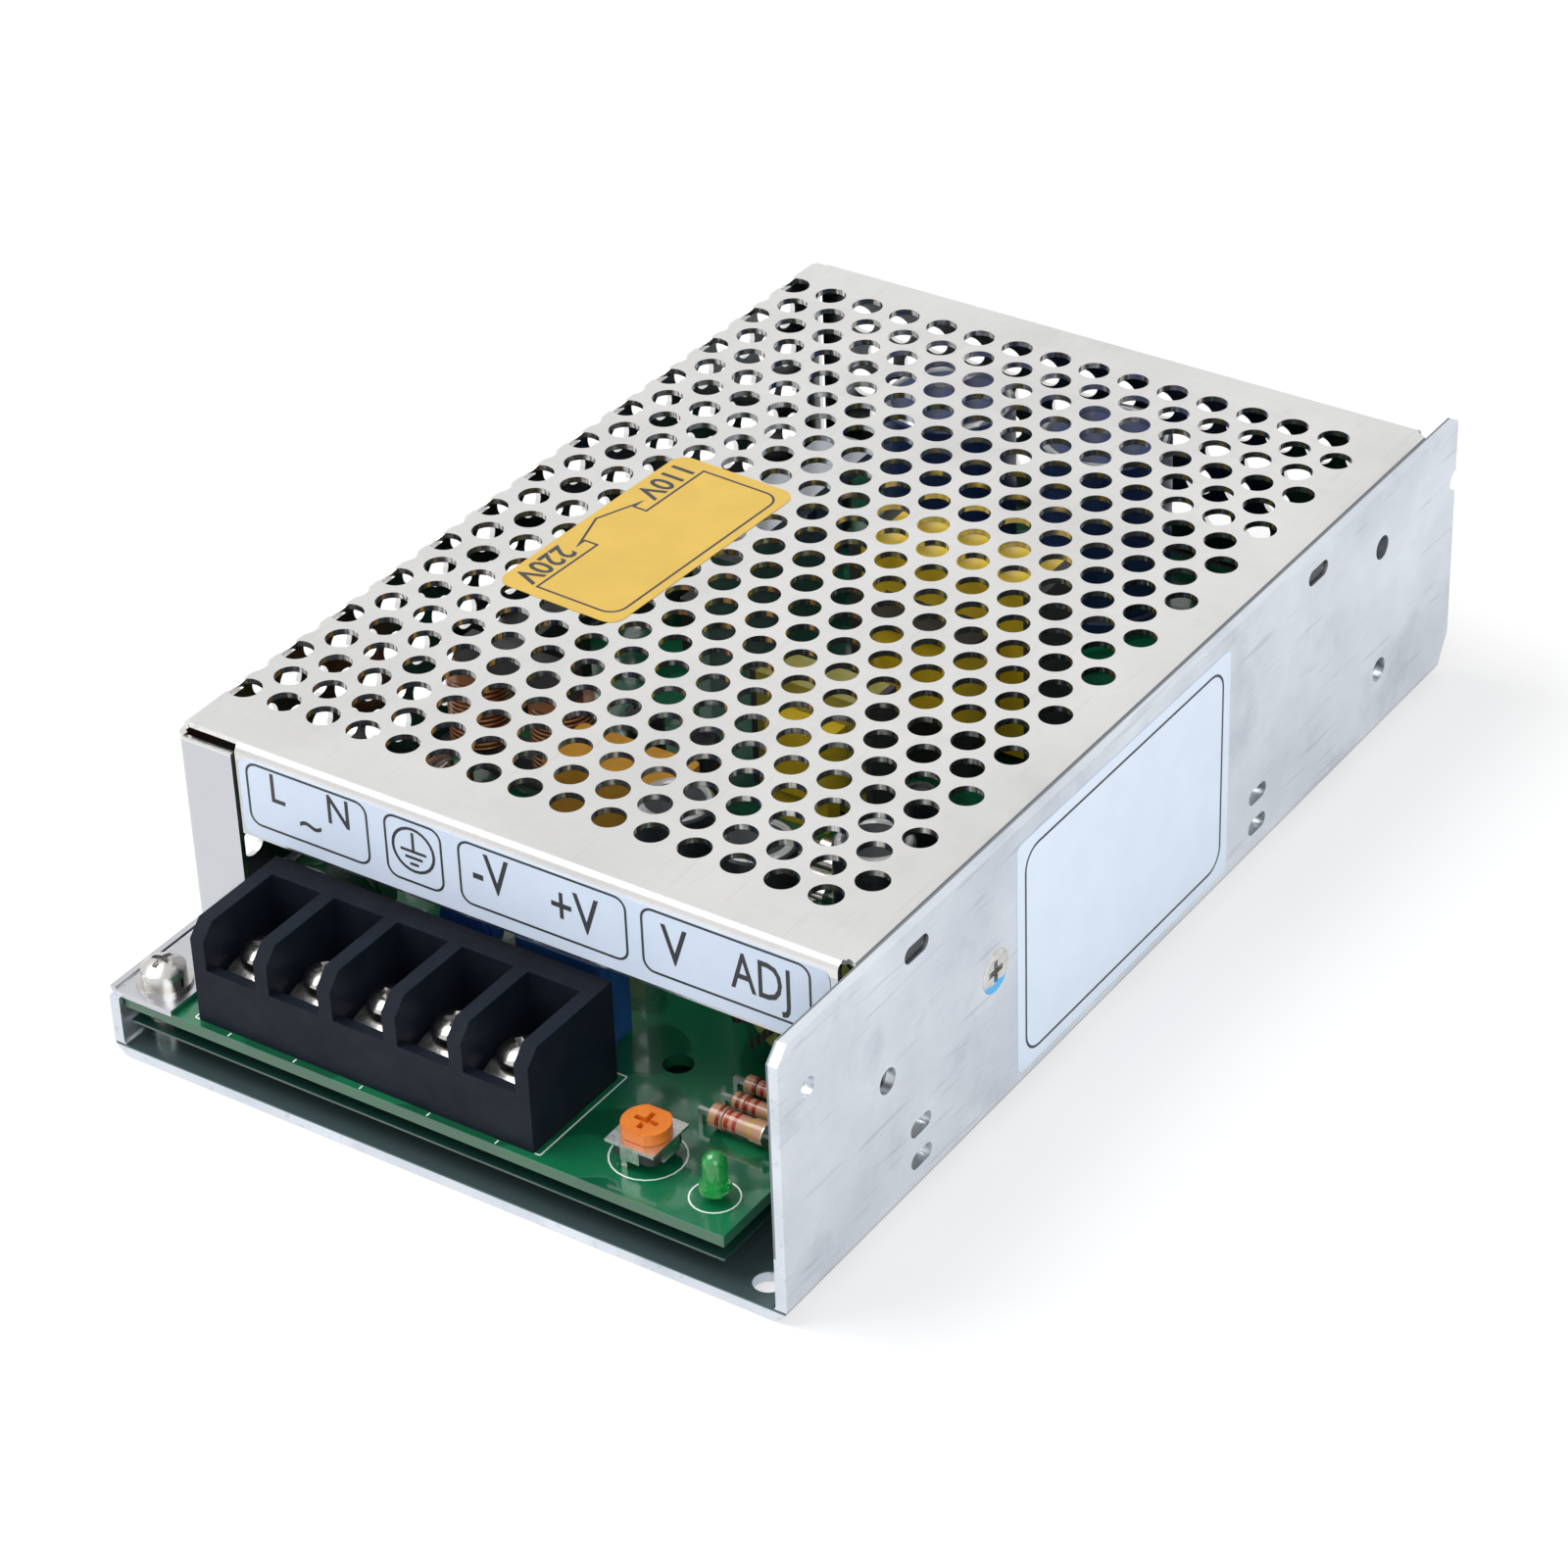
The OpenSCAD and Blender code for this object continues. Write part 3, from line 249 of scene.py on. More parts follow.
def turnedMetal(name, pale, dark, rough, depth=0.003):
    f = Finish(name)
    return f.done(colour=f.mix(f.spread(f.noise(2.5, 3), 0, 1), pale, dark), metallic=1.0,
                  roughness=f.spread(f.noise(0.8, 3), rough, rough + 0.10),
                  normal=f.bump(f.noise(0.35, 3), depth))


# Plastics and lacquers
def plastic(name, colour, shade, rough, grain=0.25, depth=0.01, **more):
    f = Finish(name)
    return f.done(colour=f.mix(f.spread(f.noise(4, 4), 0, 1), colour, shade),
                  roughness=f.spread(f.noise(1.2, 4), rough, rough + 0.12),
                  normal=f.bump(f.noise(grain, 2), depth), **more)


def solderMask(name):
    f = Finish(name)
    x, y, z = f.axes()
    weave = f.node("ShaderNodeTexVoronoi", {}, {
        "Vector": f.place, "Scale": 1 / (5.5 * mm), "Randomness": 0.9})
    pour = f.spread(f.noise(9, 0, (1, 1, 0.01), 0.2), 0, 1, 0.46, 0.5)
    green = f.mix(pour, (0.002, 0.085, 0.036), (0.004, 0.135, 0.055))
    rim = (z > 0.0083) * 0.85 + 0.15  # the sawn edge is paler than the lacquered face
    return f.done(colour=f.mix(rim, (0.012, 0.085, 0.038), green), roughness=f.spread(pour, 0.16, 0.26),
                  coat=0.7, coatRoughness=0.06, normal=f.bump(pour + weave * 0.05, 0.03))


def tape(name, colour, shade, layer):
    f = Finish(name)
    wrap = f.node("ShaderNodeTexWave", {"bands_direction": "Z"}, {
        "Vector": f.place, "Scale": 0.05 / (layer * mm), "Distortion": 1.2, "Detail": 2.0})
    return f.done(colour=f.mix(f.spread(f.noise(3, 4), 0, 1), colour, shade), roughness=0.28,
                  coat=0.35, coatRoughness=0.15, normal=f.bump(wrap + f.noise(1, 3), 0.04))


def tapedCore(name, node, bandShare, colour, shade):  # ferrite with tape wound round its middle
    f = Finish(name)
    x, y, z = f.axes()
    low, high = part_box(node)
    taped = abs(x - (low.x + high.x) / 2) < (high.x - low.x) / 2 * bandShare
    ferrite = f.mix(f.spread(f.noise(4, 4), 0, 1), (0.035, 0.035, 0.038), (0.06, 0.06, 0.062))
    wrapped = f.mix(f.spread(f.noise(3, 4), 0, 1), colour, shade)
    return f.done(colour=f.mix(taped, ferrite, wrapped), roughness=f.spread(taped, 0.52, 0.26, 0, 1),
                  coat=taped * 0.4, coatRoughness=0.15, normal=f.bump(f.noise(1, 3) + taped, 0.04))


def windings(name, colour, shade, pitch, direction):
    f = Finish(name)
    turns = f.node("ShaderNodeTexWave", {"bands_direction": direction, "wave_profile": "SIN"}, {
        "Vector": f.place, "Scale": 0.157 / (pitch * mm) * 2})
    return f.done(colour=f.mix(turns, shade, colour), metallic=0.55, roughness=0.34, coat=0.5,
                  normal=f.bump(turns, pitch * 0.3))


def paper(name, colour, shade, rough=0.5):
    f = Finish(name)
    return f.done(colour=f.mix(f.spread(f.noise(6, 5), 0, 1), colour, shade),
                  roughness=f.spread(f.noise(1, 4), rough, rough + 0.1),
                  normal=f.bump(f.noise(0.25, 3), 0.006))


def canSleeve(name, sleeve, shade, topZ):
    f = Finish(name)
    x, y, z = f.axes()
    top = z > topZ * mm
    plasticTone = f.mix(f.spread(f.noise(3, 4), 0, 1), sleeve, shade)
    return f.done(colour=f.mix(top, plasticTone, (0.62, 0.63, 0.64)), metallic=top * 1.0,
                  roughness=f.spread(f.noise(1.1, 3), 0.26, 0.38), normal=f.bump(f.noise(0.6, 3), 0.012))


def filmSheet(name):
    f = Finish(name)
    return f.done(colour=f.mix(f.noise(12, 3), (0.008, 0.040, 0.032), (0.018, 0.065, 0.052)),
                  roughness=f.spread(f.noise(7, 3), 0.04, 0.12), coat=0.9, coatRoughness=0.03, alpha=0.9,
                  normal=f.bump(f.noise(22, 2), 0.12))


def bandedBody(name, body, shade, centre, bands):  # painted rings round a body lying along X
    f = Finish(name)
    x, y, z = f.axes()
    colour = f.mix(f.spread(f.noise(3, 4), 0, 1), body, shade)
    for offset, paint in bands:
        ring = abs(x - (centre + offset * mm)) < 0.27 * mm
        colour = f.mix(ring, colour, paint)
    lead = abs(x - centre) > 3.7 * mm  # tinned wire beyond the body's ends
    colour = f.mix(lead, colour, (0.70, 0.70, 0.68))
    return f.done(colour=colour, metallic=lead, roughness=f.spread(f.noise(1.2, 4), 0.22, 0.36),
                  coat=0.4 - lead * 0.4, coatRoughness=0.12, normal=f.bump(f.noise(0.5, 2), 0.005))


def paintedScrew(name, pale, dark, paint, paintTop):  # locking paint on the lower rim of the head
    f = Finish(name)
    x, y, z = f.axes()
    painted = (z + f.noise(1.5, 2) * 0.0016) < paintTop
    return f.done(colour=f.mix(painted, f.mix(f.spread(f.noise(1.6, 4), 0, 1), pale, dark), paint),
                  metallic=1 - painted, roughness=f.spread(f.noise(0.8, 3), 0.2, 0.34),
                  normal=f.bump(f.noise(0.35, 3), 0.002))


finishes = {
    "chassis": chassisMetal("chassis"),
    "cover": coverMetal("cover"),
    "board": solderMask("board"),
    "film": filmSheet("film"),
    "hardware": turnedMetal("hardware", (0.62, 0.61, 0.59), (0.48, 0.47, 0.45), 0.2),
    "terminal_plastic": plastic("terminalPlastic", (0.005, 0.008, 0.014), (0.009, 0.013, 0.021), 0.40,
                                specular=0.10),
    "contacts": turnedMetal("contacts", (0.74, 0.73, 0.69), (0.60, 0.59, 0.55), 0.28),
    "clamp_metal": turnedMetal("clampMetal", (0.70, 0.69, 0.67), (0.56, 0.55, 0.53), 0.16),
    "screw_metal": turnedMetal("screwMetal", (0.62, 0.61, 0.59), (0.48, 0.47, 0.45), 0.16),
    "trimmer_metal": turnedMetal("trimmerMetal", (0.84, 0.84, 0.82), (0.72, 0.72, 0.70), 0.2, 0.001),
    "black_plastic": plastic("blackPlastic", (0.018, 0.018, 0.02), (0.03, 0.03, 0.033), 0.42),
    "trimmer_orange": plastic("trimmerOrange", (0.74, 0.20, 0.015), (0.62, 0.15, 0.01), 0.34),
    "led_green": plastic("ledGreen", (0.02, 0.50, 0.10), (0.012, 0.38, 0.07), 0.06, 1.5, 0.001,
                         clear=0.55, ior=1.5, coat=0.6),
    "resistor_tan": bandedBody("resistorTan", (0.50, 0.27, 0.15), (0.42, 0.22, 0.12),
                               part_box("circuit_board")[1].x - 8.4 * mm,
                               ((-2.3, (0.20, 0.03, 0.01)), (-1.2, (0.35, 0.015, 0.012)),
                                (-0.1, (0.35, 0.015, 0.012)), (1.9, (0.45, 0.30, 0.06)))),
    "fuse_glass": plastic("fuseGlass", (0.80, 0.84, 0.84), (0.74, 0.78, 0.78), 0.05, 2, 0.002,
                          clear=0.9, ior=1.47),
    "maroon_lacquer": plastic("maroonLacquer", (0.22, 0.025, 0.018), (0.15, 0.015, 0.012), 0.3, 0.7, 0.05),
    "green_lacquer": plastic("greenLacquer", (0.02, 0.09, 0.05), (0.012, 0.06, 0.035), 0.32, 0.7, 0.05),
    "amber_plastic": plastic("amberPlastic", (0.72, 0.36, 0.05), (0.62, 0.29, 0.03), 0.3),
    "blue_lacquer": plastic("blueLacquer", (0.03, 0.12, 0.46), (0.02, 0.085, 0.36), 0.28, 0.7, 0.05),
    "blue_plastic": plastic("bluePlastic", (0.02, 0.09, 0.30), (0.015, 0.065, 0.23), 0.3),
    "ferrite": plastic("ferrite", (0.035, 0.035, 0.038), (0.06, 0.06, 0.062), 0.5, 0.15, 0.03),
    "copper_wire": windings("copperWire", (0.58, 0.24, 0.10), (0.20, 0.07, 0.03), 0.7, "Z"),
    "capacitor_blue": canSleeve("capacitorBlue", (0.02, 0.045, 0.16), (0.014, 0.03, 0.11), 34.2),
    "yellow_tape": tape("yellowTape", (0.86, 0.62, 0.04), (0.76, 0.50, 0.02), 2.2),
    "pad_grey": plastic("padGrey", (0.42, 0.44, 0.45), (0.35, 0.37, 0.38), 0.6),
    "toroid_paint": plastic("toroidPaint", (0.36, 0.38, 0.09), (0.28, 0.30, 0.06), 0.45, 0.6, 0.04),
    "dark_wire": windings("darkWire", (0.10, 0.07, 0.06), (0.03, 0.02, 0.02), 0.9, "X"),
    "capacitor_dark": canSleeve("capacitorDark", (0.018, 0.022, 0.026), (0.03, 0.034, 0.04), 29.2),
    "selector_red": plastic("selectorRed", (0.55, 0.03, 0.02), (0.45, 0.02, 0.015), 0.35),
    "pale_label": paper("paleLabel", (0.73, 0.83, 0.96), (0.69, 0.79, 0.92), 0.36),
    "yellow_label": paper("yellowLabel", (0.62, 0.41, 0.07), (0.57, 0.37, 0.06), 0.42),
}
ink = paper("ink", (0.018, 0.02, 0.026), (0.03, 0.033, 0.04), 0.45)
silk = paper("silk", (0.78, 0.84, 0.80), (0.66, 0.74, 0.69), 0.55)

# painted shade: the front label is the same paper as the side label's pale_label, given a darker blue
# against the stronger light on the front
ownFinish = {"front_label": paper("frontLabelShaded", (0.63, 0.72, 0.86), (0.59, 0.68, 0.82), 0.36),
             "rectifier_screw": paintedScrew("sideScrew", (0.80, 0.79, 0.76), (0.50, 0.49, 0.47),
                                            (0.05, 0.42, 0.80), 0.0204),
             "transformer_core": tapedCore("tapedTransformer", "transformer_core", 0.86,
                                           (0.86, 0.62, 0.04), (0.76, 0.50, 0.02)),
             "driver_core": tapedCore("tapedDriver", "driver_core", 0.9,
                                      (0.40, 0.36, 0.07), (0.32, 0.29, 0.05))}

for name, node in cadNodes.items():
    material = ownFinish.get(name, finishes[slotOf[name]])
    if not node.material_slots:
        node.data.materials.append(material)
    for holder in node.material_slots:
        holder.material = material
print("materials on", len(cadNodes), "nodes")

# Printing
faceFront = Matrix.Rotation(math.pi / 2, 4, "X")
faceRight = Matrix.Rotation(math.pi / 2, 4, "Z") @ Matrix.Rotation(math.pi / 2, 4, "X")


def only(obj):  # selected alone, and active
    bpy.ops.object.select_all(action="DESELECT")
    obj.select_set(True)
    bpy.context.view_layer.objects.active = obj
    return obj


def twin(obj):  # a copy with its own mesh
    copy = obj.copy()
    copy.data = obj.data.copy()
    bpy.context.collection.objects.link(copy)
    return copy


def settle(obj, matrix, name, material, body="case"):
    only(obj)
    obj.matrix_world = matrix
    bpy.ops.object.transform_apply(location=True, rotation=True, scale=True)
    obj.name = name
    obj.data.materials.clear()
    obj.data.materials.append(material)
    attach(obj, body)
    return obj


def word(text, size, depth, bold=0.0, narrow=1.0):
    bpy.ops.object.select_all(action="DESELECT")
    bpy.ops.object.text_add()
    obj = bpy.context.object
    obj.data.body, obj.data.size = text, size
    obj.data.align_x, obj.data.align_y = "CENTER", "CENTER"
    obj.data.resolution_u, obj.data.extrude, obj.data.offset = 3, depth / 2, bold
    bpy.ops.object.convert(target="MESH")
    obj.scale.x = narrow
    bpy.ops.object.transform_apply(scale=True)
    return bpy.context.object


def outlineRing(points, line, depth):  # a printed line that follows the points, inside them
    sheet = bpy.data.meshes.new("outline")
    sheet.from_pydata([(x, y, 0) for x, y in points], [], [list(range(len(points)))])
    obj = bpy.data.objects.new("outline", sheet)
    bpy.context.collection.objects.link(obj)
    return hollowOut(only(obj), line, depth)


def thicken(obj, depth, offset):  # 0 to both sides of the sheet, -1 to the back of it
    bpy.ops.object.modifier_add(type="SOLIDIFY")
    obj.modifiers[-1].thickness, obj.modifiers[-1].offset = depth, offset
    bpy.ops.object.modifier_apply(modifier=obj.modifiers[-1].name)
    return obj


def hollowOut(obj, line, depth):
    bpy.ops.object.mode_set(mode="EDIT")
    bpy.ops.mesh.select_all(action="SELECT")
    bpy.ops.mesh.inset(thickness=line)
    bpy.ops.mesh.delete(type="FACE")
    bpy.ops.object.mode_set(mode="OBJECT")
    return thicken(obj, depth, 0)


def roundedSheet(width, height, corner):
    bpy.ops.object.select_all(action="DESELECT")
    bpy.ops.mesh.primitive_plane_add(size=1)
    obj = bpy.context.object
    obj.scale = (width, height, 1)
    bpy.ops.object.transform_apply(scale=True)
    bpy.ops.object.mode_set(mode="EDIT")
    bpy.ops.mesh.select_all(action="SELECT")
    bpy.ops.mesh.bevel(offset=corner, segments=6, affect="VERTICES")
    bpy.ops.mesh.remove_doubles(threshold=0.000001)
    bpy.ops.object.mode_set(mode="OBJECT")
    return obj


def frameRing(width, height, corner, line, depth):
    return hollowOut(roundedSheet(width, height, corner), line, depth)


def bar(width, height, depth):  # a printed stroke with softened corners
    return thicken(roundedSheet(width, height, min(width, height) * 0.3), depth, 0)


# Pan head screws: a domed head, a cross with tapered walls, and a shank with rolled threads
screwHead = {"sides": 40, "rings": 24, "rim": 0.42, "slotWide": 0.17, "slotLong": 0.62, "slotDeep": 0.62,
             "slotFoot": 0.35, "above": 0.3, "diagonal": 1.414}  # shares of the head, and above it in mm
screwShank = {"sides": 24, "pitch": 0.6, "chamfer": 0.12, "core": 0.9}


def panHead(radius, height):
    bpy.ops.object.select_all(action="DESELECT")
    bpy.ops.mesh.primitive_uv_sphere_add(segments=screwHead["sides"], ring_count=screwHead["rings"],
                                         radius=radius)
    head = bpy.context.object
    head.scale.z = height * (1 - screwHead["rim"]) / radius
    bpy.ops.object.transform_apply(scale=True)
    bpy.ops.object.mode_set(mode="EDIT")
    bpy.ops.mesh.select_all(action="SELECT")
    bpy.ops.mesh.bisect(plane_co=(0, 0, 0), plane_no=(0, 0, 1), clear_inner=True, use_fill=True)
    bpy.ops.mesh.select_all(action="DESELECT")
    bpy.ops.object.mode_set(mode="OBJECT")
    for face in head.data.polygons:
        face.select = face.normal.z < -0.9
    rim = height * screwHead["rim"]
    bpy.ops.object.mode_set(mode="EDIT")
    bpy.ops.mesh.extrude_region_move(TRANSFORM_OT_translate={"value": (0, 0, -rim)})
    bpy.ops.object.mode_set(mode="OBJECT")
    head.location.z = rim
    bpy.ops.object.transform_apply(location=True)
    return head


def cutSlot(head, radius, height, turn):
    deep, above = height * screwHead["slotDeep"], screwHead["above"] * mm
    bpy.ops.object.select_all(action="DESELECT")
    bpy.ops.mesh.primitive_cone_add(vertices=4, radius1=screwHead["slotFoot"], radius2=1, depth=1)
    tool = bpy.context.object
    tool.rotation_euler.z = math.radians(45)
    bpy.ops.object.transform_apply(rotation=True)
    reach = radius * screwHead["diagonal"]
    tool.scale = (reach * screwHead["slotLong"], reach * screwHead["slotWide"], deep + above)
    tool.location.z = height - deep / 2 + above / 2
    bpy.ops.object.transform_apply(location=True, scale=True)
    tool.rotation_euler.z = math.radians(turn)
    bpy.ops.object.transform_apply(rotation=True)
    only(head)
    cut = head.modifiers.new("cross", "BOOLEAN")
    cut.operation, cut.object, cut.solver = "DIFFERENCE", tool, "EXACT"
    bpy.ops.object.modifier_apply(modifier="cross")
    bpy.data.objects.remove(tool)


def threads(radius, length):
    crest = screwShank["pitch"] * mm / 2
    bpy.ops.object.select_all(action="DESELECT")
    bpy.ops.mesh.primitive_cylinder_add(vertices=screwShank["sides"], radius=radius, depth=crest,
                                        location=(0, 0, -crest / 2))
    thread = bpy.context.object
    bpy.ops.object.mode_set(mode="EDIT")
    bpy.ops.mesh.select_all(action="SELECT")
    bpy.ops.mesh.bevel(offset=screwShank["chamfer"] * mm, segments=1, affect="EDGES")
    bpy.ops.object.mode_set(mode="OBJECT")
    bpy.ops.object.transform_apply(location=True)
    stack = thread.modifiers.new("threads", "ARRAY")
    stack.count = max(4, round(length / (screwShank["pitch"] * mm)))
    stack.use_relative_offset, stack.use_constant_offset = False, True
    stack.constant_offset_displace = (0, 0, -length / stack.count)
    bpy.ops.object.modifier_apply(modifier="threads")
    return thread


def screw(radius, height, shankRadius, shankLength):
    head = panHead(radius, height)
    for turn in (0, 90):
        cutSlot(head, radius, height, turn)
    thread = threads(shankRadius, shankLength)
    core = shankRadius * screwShank["core"]
    bpy.ops.object.select_all(action="DESELECT")
    bpy.ops.mesh.primitive_cylinder_add(vertices=screwShank["sides"], radius=core, depth=shankLength,
                                        location=(0, 0, -shankLength / 2))
    for piece in (thread, head):
        piece.select_set(True)
    bpy.context.view_layer.objects.active = head
    bpy.ops.object.join()
    bpy.ops.object.shade_smooth_by_angle(angle=math.radians(35))
    return head


terminalScrew = {"height": 2.3, "shank": 3.4, "turns": (20, 51, 82, 113, 144)}  # mm and degrees
low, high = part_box("terminal_screw_1")
model = screw((high.x - low.x) / 2, terminalScrew["height"] * mm, terminalScrew["shank"] / 2 * mm,
              high.z - low.z - terminalScrew["height"] * mm)
for index, turn in enumerate(terminalScrew["turns"]):
    low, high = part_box(f"terminal_screw_{index + 1}")
    copy = twin(model)
    seat = ((low.x + high.x) / 2, (low.y + high.y) / 2, high.z - terminalScrew["height"] * mm)
    settle(copy, Matrix.Translation(seat) @ Matrix.Rotation(math.radians(turn), 4, "Z"),
           f"terminalScrew{index + 1}", finishes["screw_metal"], f"screw_{index + 1}")
    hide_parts(f"terminal_screw_{index + 1}")
bpy.data.objects.remove(model)
print("terminal screws made")

# Marks on the front label: millimetres from its left edge, and above the frames' middle
frontPrint = {"depth": 0.02, "line": 0.32, "height": 9.0, "corner": 1.7, "up": 0.7,
              "frames": ((1.0, 19.3), (21.7, 30.2), (32.5, 56.5), (58.4, 81.6)),
              "words": (("L", 5.6, 1.6, 5.8, 0.85), ("N", 14.9, 1.6, 5.8, 0.85),
                        ("~", 10.4, -1.6, 6.0, 1.0),
                        ("-V", 37.1, 0.6, 7.6, 0.78), ("+V", 49.0, -0.2, 7.6, 0.78),
                        ("V", 63.0, 0, 7.6, 0.78), ("ADJ", 74.9, 0, 7.4, 0.68))}
low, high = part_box("front_label")
inkDepth = frontPrint["depth"] * mm
midZ = (low.z + high.z) / 2 + frontPrint["up"] * mm
sheetY = low.y - inkDepth / 2


def onFront(obj, x, up, name):
    place = Matrix.Translation((low.x + x * mm, sheetY, midZ + up * mm))
    return settle(obj, place @ faceFront, name, ink)


for index, (left, right) in enumerate(frontPrint["frames"]):
    outline = frameRing((right - left) * mm, frontPrint["height"] * mm, frontPrint["corner"] * mm,
                        frontPrint["line"] * mm, inkDepth)
    onFront(outline, (left + right) / 2, 0, f"frontFrame{index}")
for index, (text, x, up, size, narrow) in enumerate(frontPrint["words"]):
    letters = word(text, size * mm, inkDepth, 0.03 * mm, narrow)
    onFront(letters, x, up, f"frontMark{index}")

earth = {"x": 25.9, "up": 0.3, "ring": 6.4, "line": 0.4, "bars": ((3.8, -0.2), (2.6, -1.1), (1.3, -2.0))}
circle = frameRing(earth["ring"] * mm, earth["ring"] * mm, earth["ring"] / 2 * mm, earth["line"] * mm,
                   inkDepth)
onFront(circle, earth["x"], earth["up"], "earthRing")
stem = bar(earth["line"] * mm, 2.6 * mm, inkDepth)
onFront(stem, earth["x"], earth["up"] + 1.2, "earthStem")
for index, (width, up) in enumerate(earth["bars"]):
    stroke = bar(width * mm, earth["line"] * mm, inkDepth)
    onFront(stroke, earth["x"], earth["up"] + up, f"earthBar{index}")
print("front label printed")

# The side label carries only its printed border
sidePrint = {"inset": 1.6, "corner": 3.0, "line": 0.35}
low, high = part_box("side_label")
inset = 2 * sidePrint["inset"] * mm
border = frameRing(high.y - low.y - inset, high.z - low.z - inset, sidePrint["corner"] * mm,
                   sidePrint["line"] * mm, inkDepth)
sheet = only(twin(cadNodes["side_label"]))  # it lies deeper by the ink, so that the ink ends at the box
bpy.ops.object.mode_set(mode="EDIT")
bpy.ops.mesh.select_all(action="SELECT")
bpy.ops.mesh.remove_doubles(threshold=0.000001)
bpy.ops.object.mode_set(mode="OBJECT")
settle(sheet, Matrix.Translation((-inkDepth, 0, 0)), "sideLabel", finishes["pale_label"])
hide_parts("side_label")
place = Matrix.Translation((high.x - inkDepth / 2, (low.y + high.y) / 2, (low.z + high.z) / 2))
settle(border, place @ faceRight, "sideBorder", ink)
print("side label printed")

# The voltage label reads from the rear to the front. Its border points at the selector in the side.
# Half widths along the label, heights across it from its middle, in millimetres
topPrint = {"turn": -2.8, "radius": 2.2, "side": 17.3, "top": 8.3, "corner": 2.4, "foot": -4.4,
            "shaft": 5.2, "head": 7.1, "barb": -6.1, "tip": -8.6, "line": 0.32, "size": 4.9, "narrow": 0.9,
            "words": (("110V", -12.4), ("220V", 12.4)), "wordUp": -6.9}
t = topPrint
bend = [(t["side"] - t["corner"] + t["corner"] * math.sin(a * math.pi / 12),
         t["top"] - t["corner"] + t["corner"] * math.cos(a * math.pi / 12)) for a in range(7)]
half = bend + [(t["side"], t["foot"]), (t["shaft"], t["foot"]), (t["shaft"], t["barb"]),
               (t["head"], t["barb"])]
points = half + [(0, t["tip"])] + [(-x, y) for x, y in reversed(half)]
low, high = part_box("top_label")
place = Matrix.Translation(((low.x + high.x) / 2, (low.y + high.y) / 2, high.z - inkDepth / 2))
place = place @ Matrix.Rotation(math.radians(t["turn"] - 90), 4, "Z")
sheet = roundedSheet(high.y - low.y, high.x - low.x, t["radius"] * mm)
thicken(sheet, high.z - low.z - inkDepth, -1)
settle(sheet, place @ Matrix.Translation((0, 0, -inkDepth / 2)), "voltageLabel",
       finishes["yellow_label"])
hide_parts("top_label")
border = outlineRing([(x * mm, y * mm) for x, y in points], t["line"] * mm, inkDepth)
settle(border, place, "voltageBorder", ink)
for index, (text, x) in enumerate(t["words"]):
    letters = word(text, t["size"] * mm, inkDepth, 0.09 * mm, t["narrow"])
    settle(letters, place @ Matrix.Translation((x * mm, t["wordUp"] * mm, 0)), f"voltageMark{index}", ink)
print("voltage label printed")

# White outlines printed on the board round the parts at the front
silkPrint = {"line": 0.2, "depth": 0.02, "blockGap": 0.9, "rings": (("led", 6.2), ("trimmer_body", 9.4))}
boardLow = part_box("circuit_board")[0]
blockLow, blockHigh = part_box("terminal_block")
silkZ = blockLow.z + silkPrint["depth"] * mm / 2


def onBoard(obj, x, y, name):
    return settle(obj, Matrix.Translation((x, y, silkZ)), name, silk)


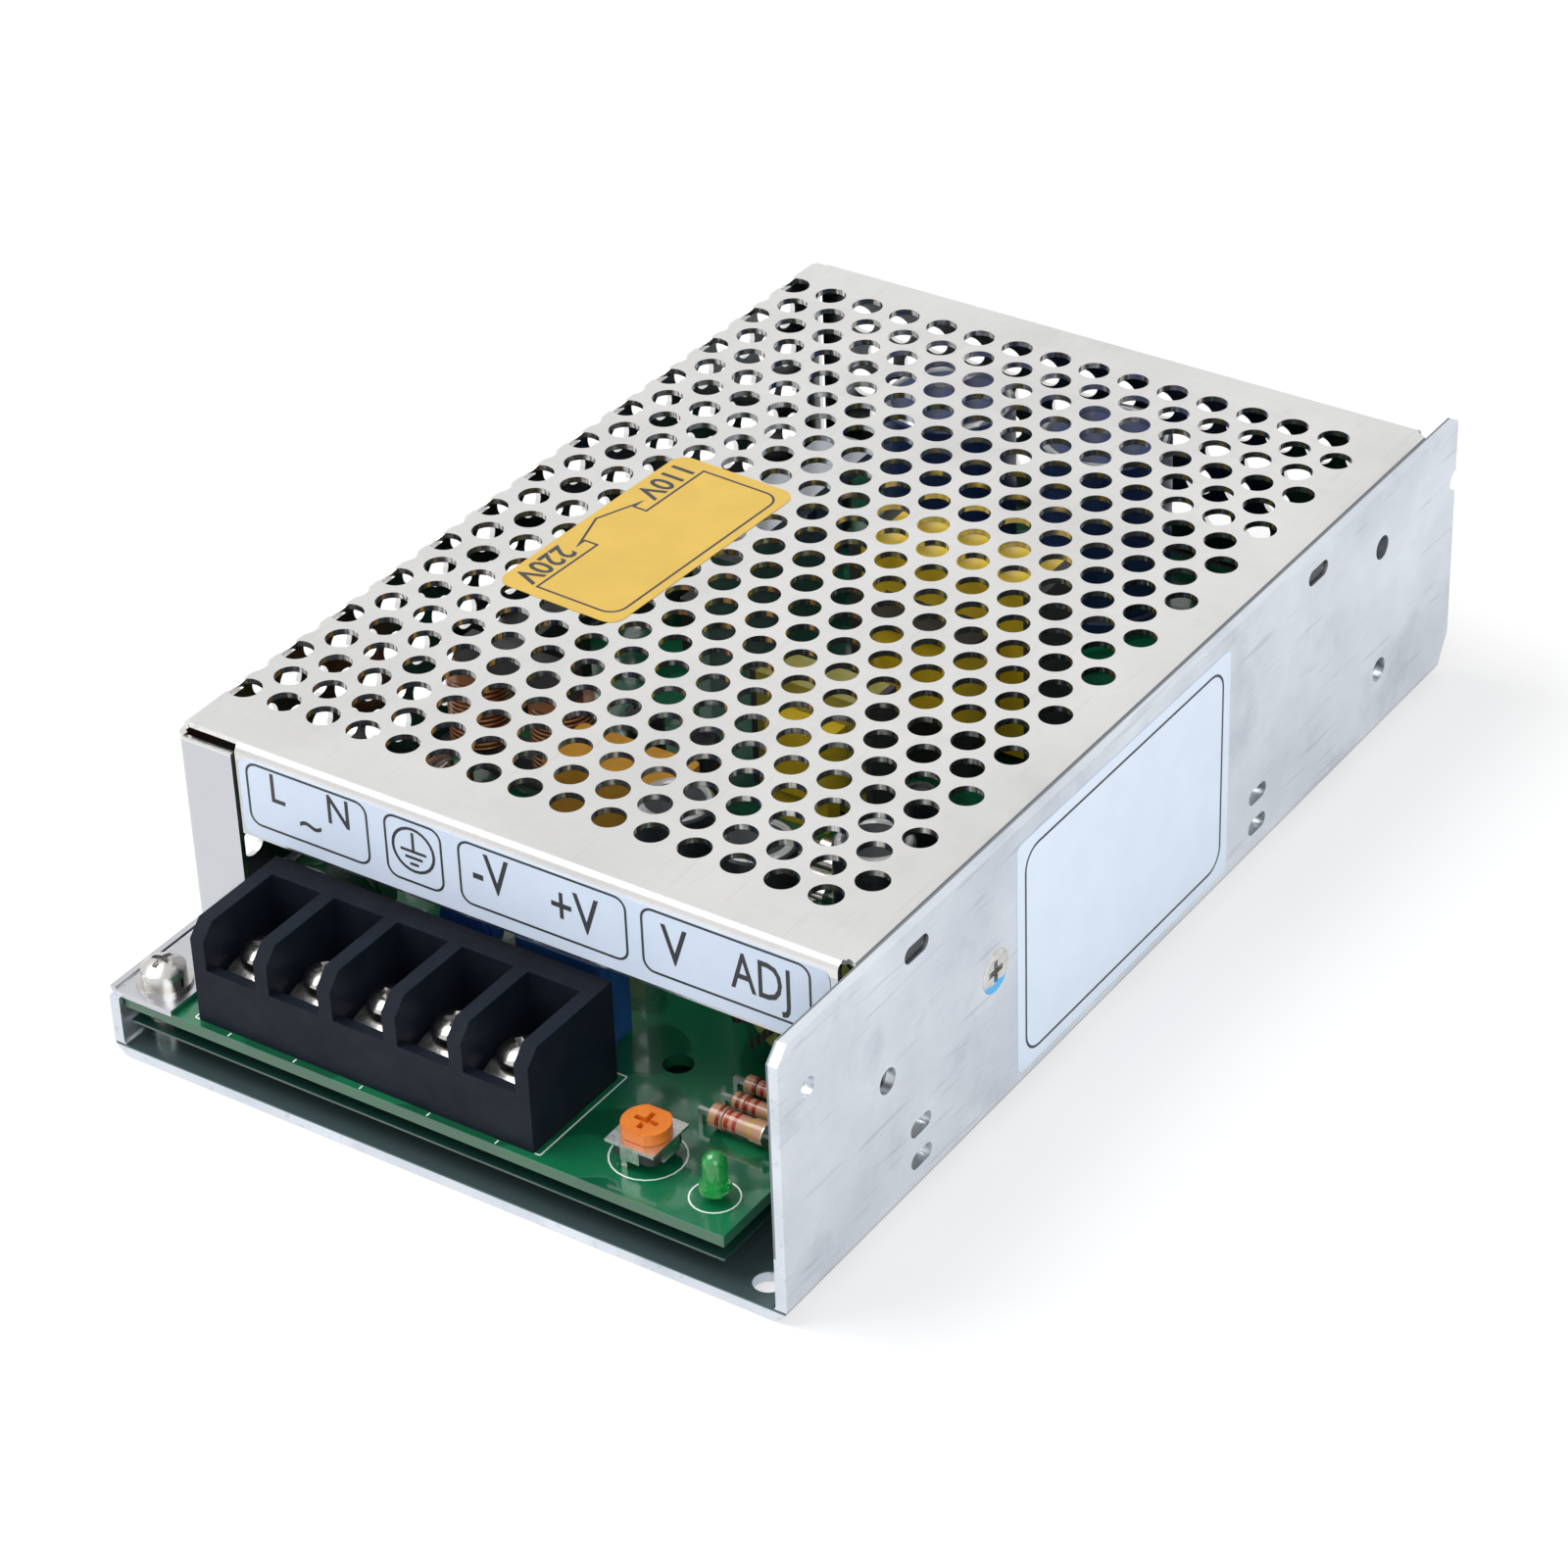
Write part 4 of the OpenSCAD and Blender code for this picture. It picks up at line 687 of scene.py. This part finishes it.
gap = silkPrint["blockGap"] * mm
outline = frameRing(blockHigh.x - blockLow.x + 2 * gap, blockHigh.y - blockLow.y + gap, 0.3 * mm,
                   silkPrint["line"] * mm, silkPrint["depth"] * mm)
onBoard(outline, (blockLow.x + blockHigh.x) / 2, (blockLow.y + blockHigh.y) / 2 + gap / 2, "blockOutline")
for index in range(5):
    stroke = bar(silkPrint["line"] * mm, blockLow.y - boardLow.y - 0.3 * mm, silkPrint["depth"] * mm)
    pitch = (blockHigh.x - blockLow.x) / 5
    onBoard(stroke, blockLow.x + (index + 0.5) * pitch, (blockLow.y + boardLow.y) / 2, f"boardTick{index}")
for name, width in silkPrint["rings"]:
    low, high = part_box(name)
    ring = frameRing(width * mm, width * mm, width / 2 * mm, silkPrint["line"] * mm,
                     silkPrint["depth"] * mm)
    onBoard(ring, (low.x + high.x) / 2, (low.y + high.y) / 2, f"{name}Outline")
print("board printed")

# Floor and light
floorSet = {"size": 12, "tone": (0.93, 0.935, 0.94), "lift": 0.5, "near": 0.16, "far": 0.45}
bpy.ops.object.select_all(action="DESELECT")
bpy.ops.mesh.primitive_plane_add(size=floorSet["size"], location=(0, 0, cadBox[0].z - 0.0002))
floor = bpy.context.object
floor.name = "floor"
f = Finish("floor")
x, y, z = f.axes()
away = f.node("ShaderNodeMath", {"operation": "SQRT"}, {0: x * x + y * y})
white = f.spread(away, floorSet["lift"], 1, floorSet["near"], floorSet["far"]) * seenDirectly(f.tree)
lit = f.surface(colour=floorSet["tone"], roughness=0.7)
pale = f.node("ShaderNodeEmission", {}, {"Color": (1, 1, 1), "Strength": 1.0})
blend = f.node("ShaderNodeMixShader", {}, {0: white, 1: lit, 2: pale})
f.node("ShaderNodeOutputMaterial", {}, {0: blend})
floor.data.materials.append(f.material)

world = bpy.data.worlds.new("studio")
bpy.context.scene.world = world
world.use_nodes = True
sky = world.node_tree
sky.nodes.clear()
level = seenDirectly(sky) * 0.45 + 0.55
glow = addNode(sky, "ShaderNodeBackground", {}, {0: (1, 1, 1), 1: level})
addNode(sky, "ShaderNodeOutputWorld", {}, {0: glow})


def softBox(name, at, size, power):
    bpy.ops.object.light_add(type="AREA", location=at)
    lamp = bpy.context.object
    lamp.name, lamp.data.size, lamp.data.energy = name, size, power
    lamp.rotation_euler = (Vector((0, 0, 0.02)) - Vector(at)).to_track_quat("-Z", "Y").to_euler()


softBox("keyLamp", (-0.5, -0.25, 0.9), 0.7, 9)
softBox("fillLamp", (0.8, -0.7, 0.7), 0.8, 5)
view = bpy.context.scene.view_settings
view.view_transform = "Standard"
print("floor and lamps placed")
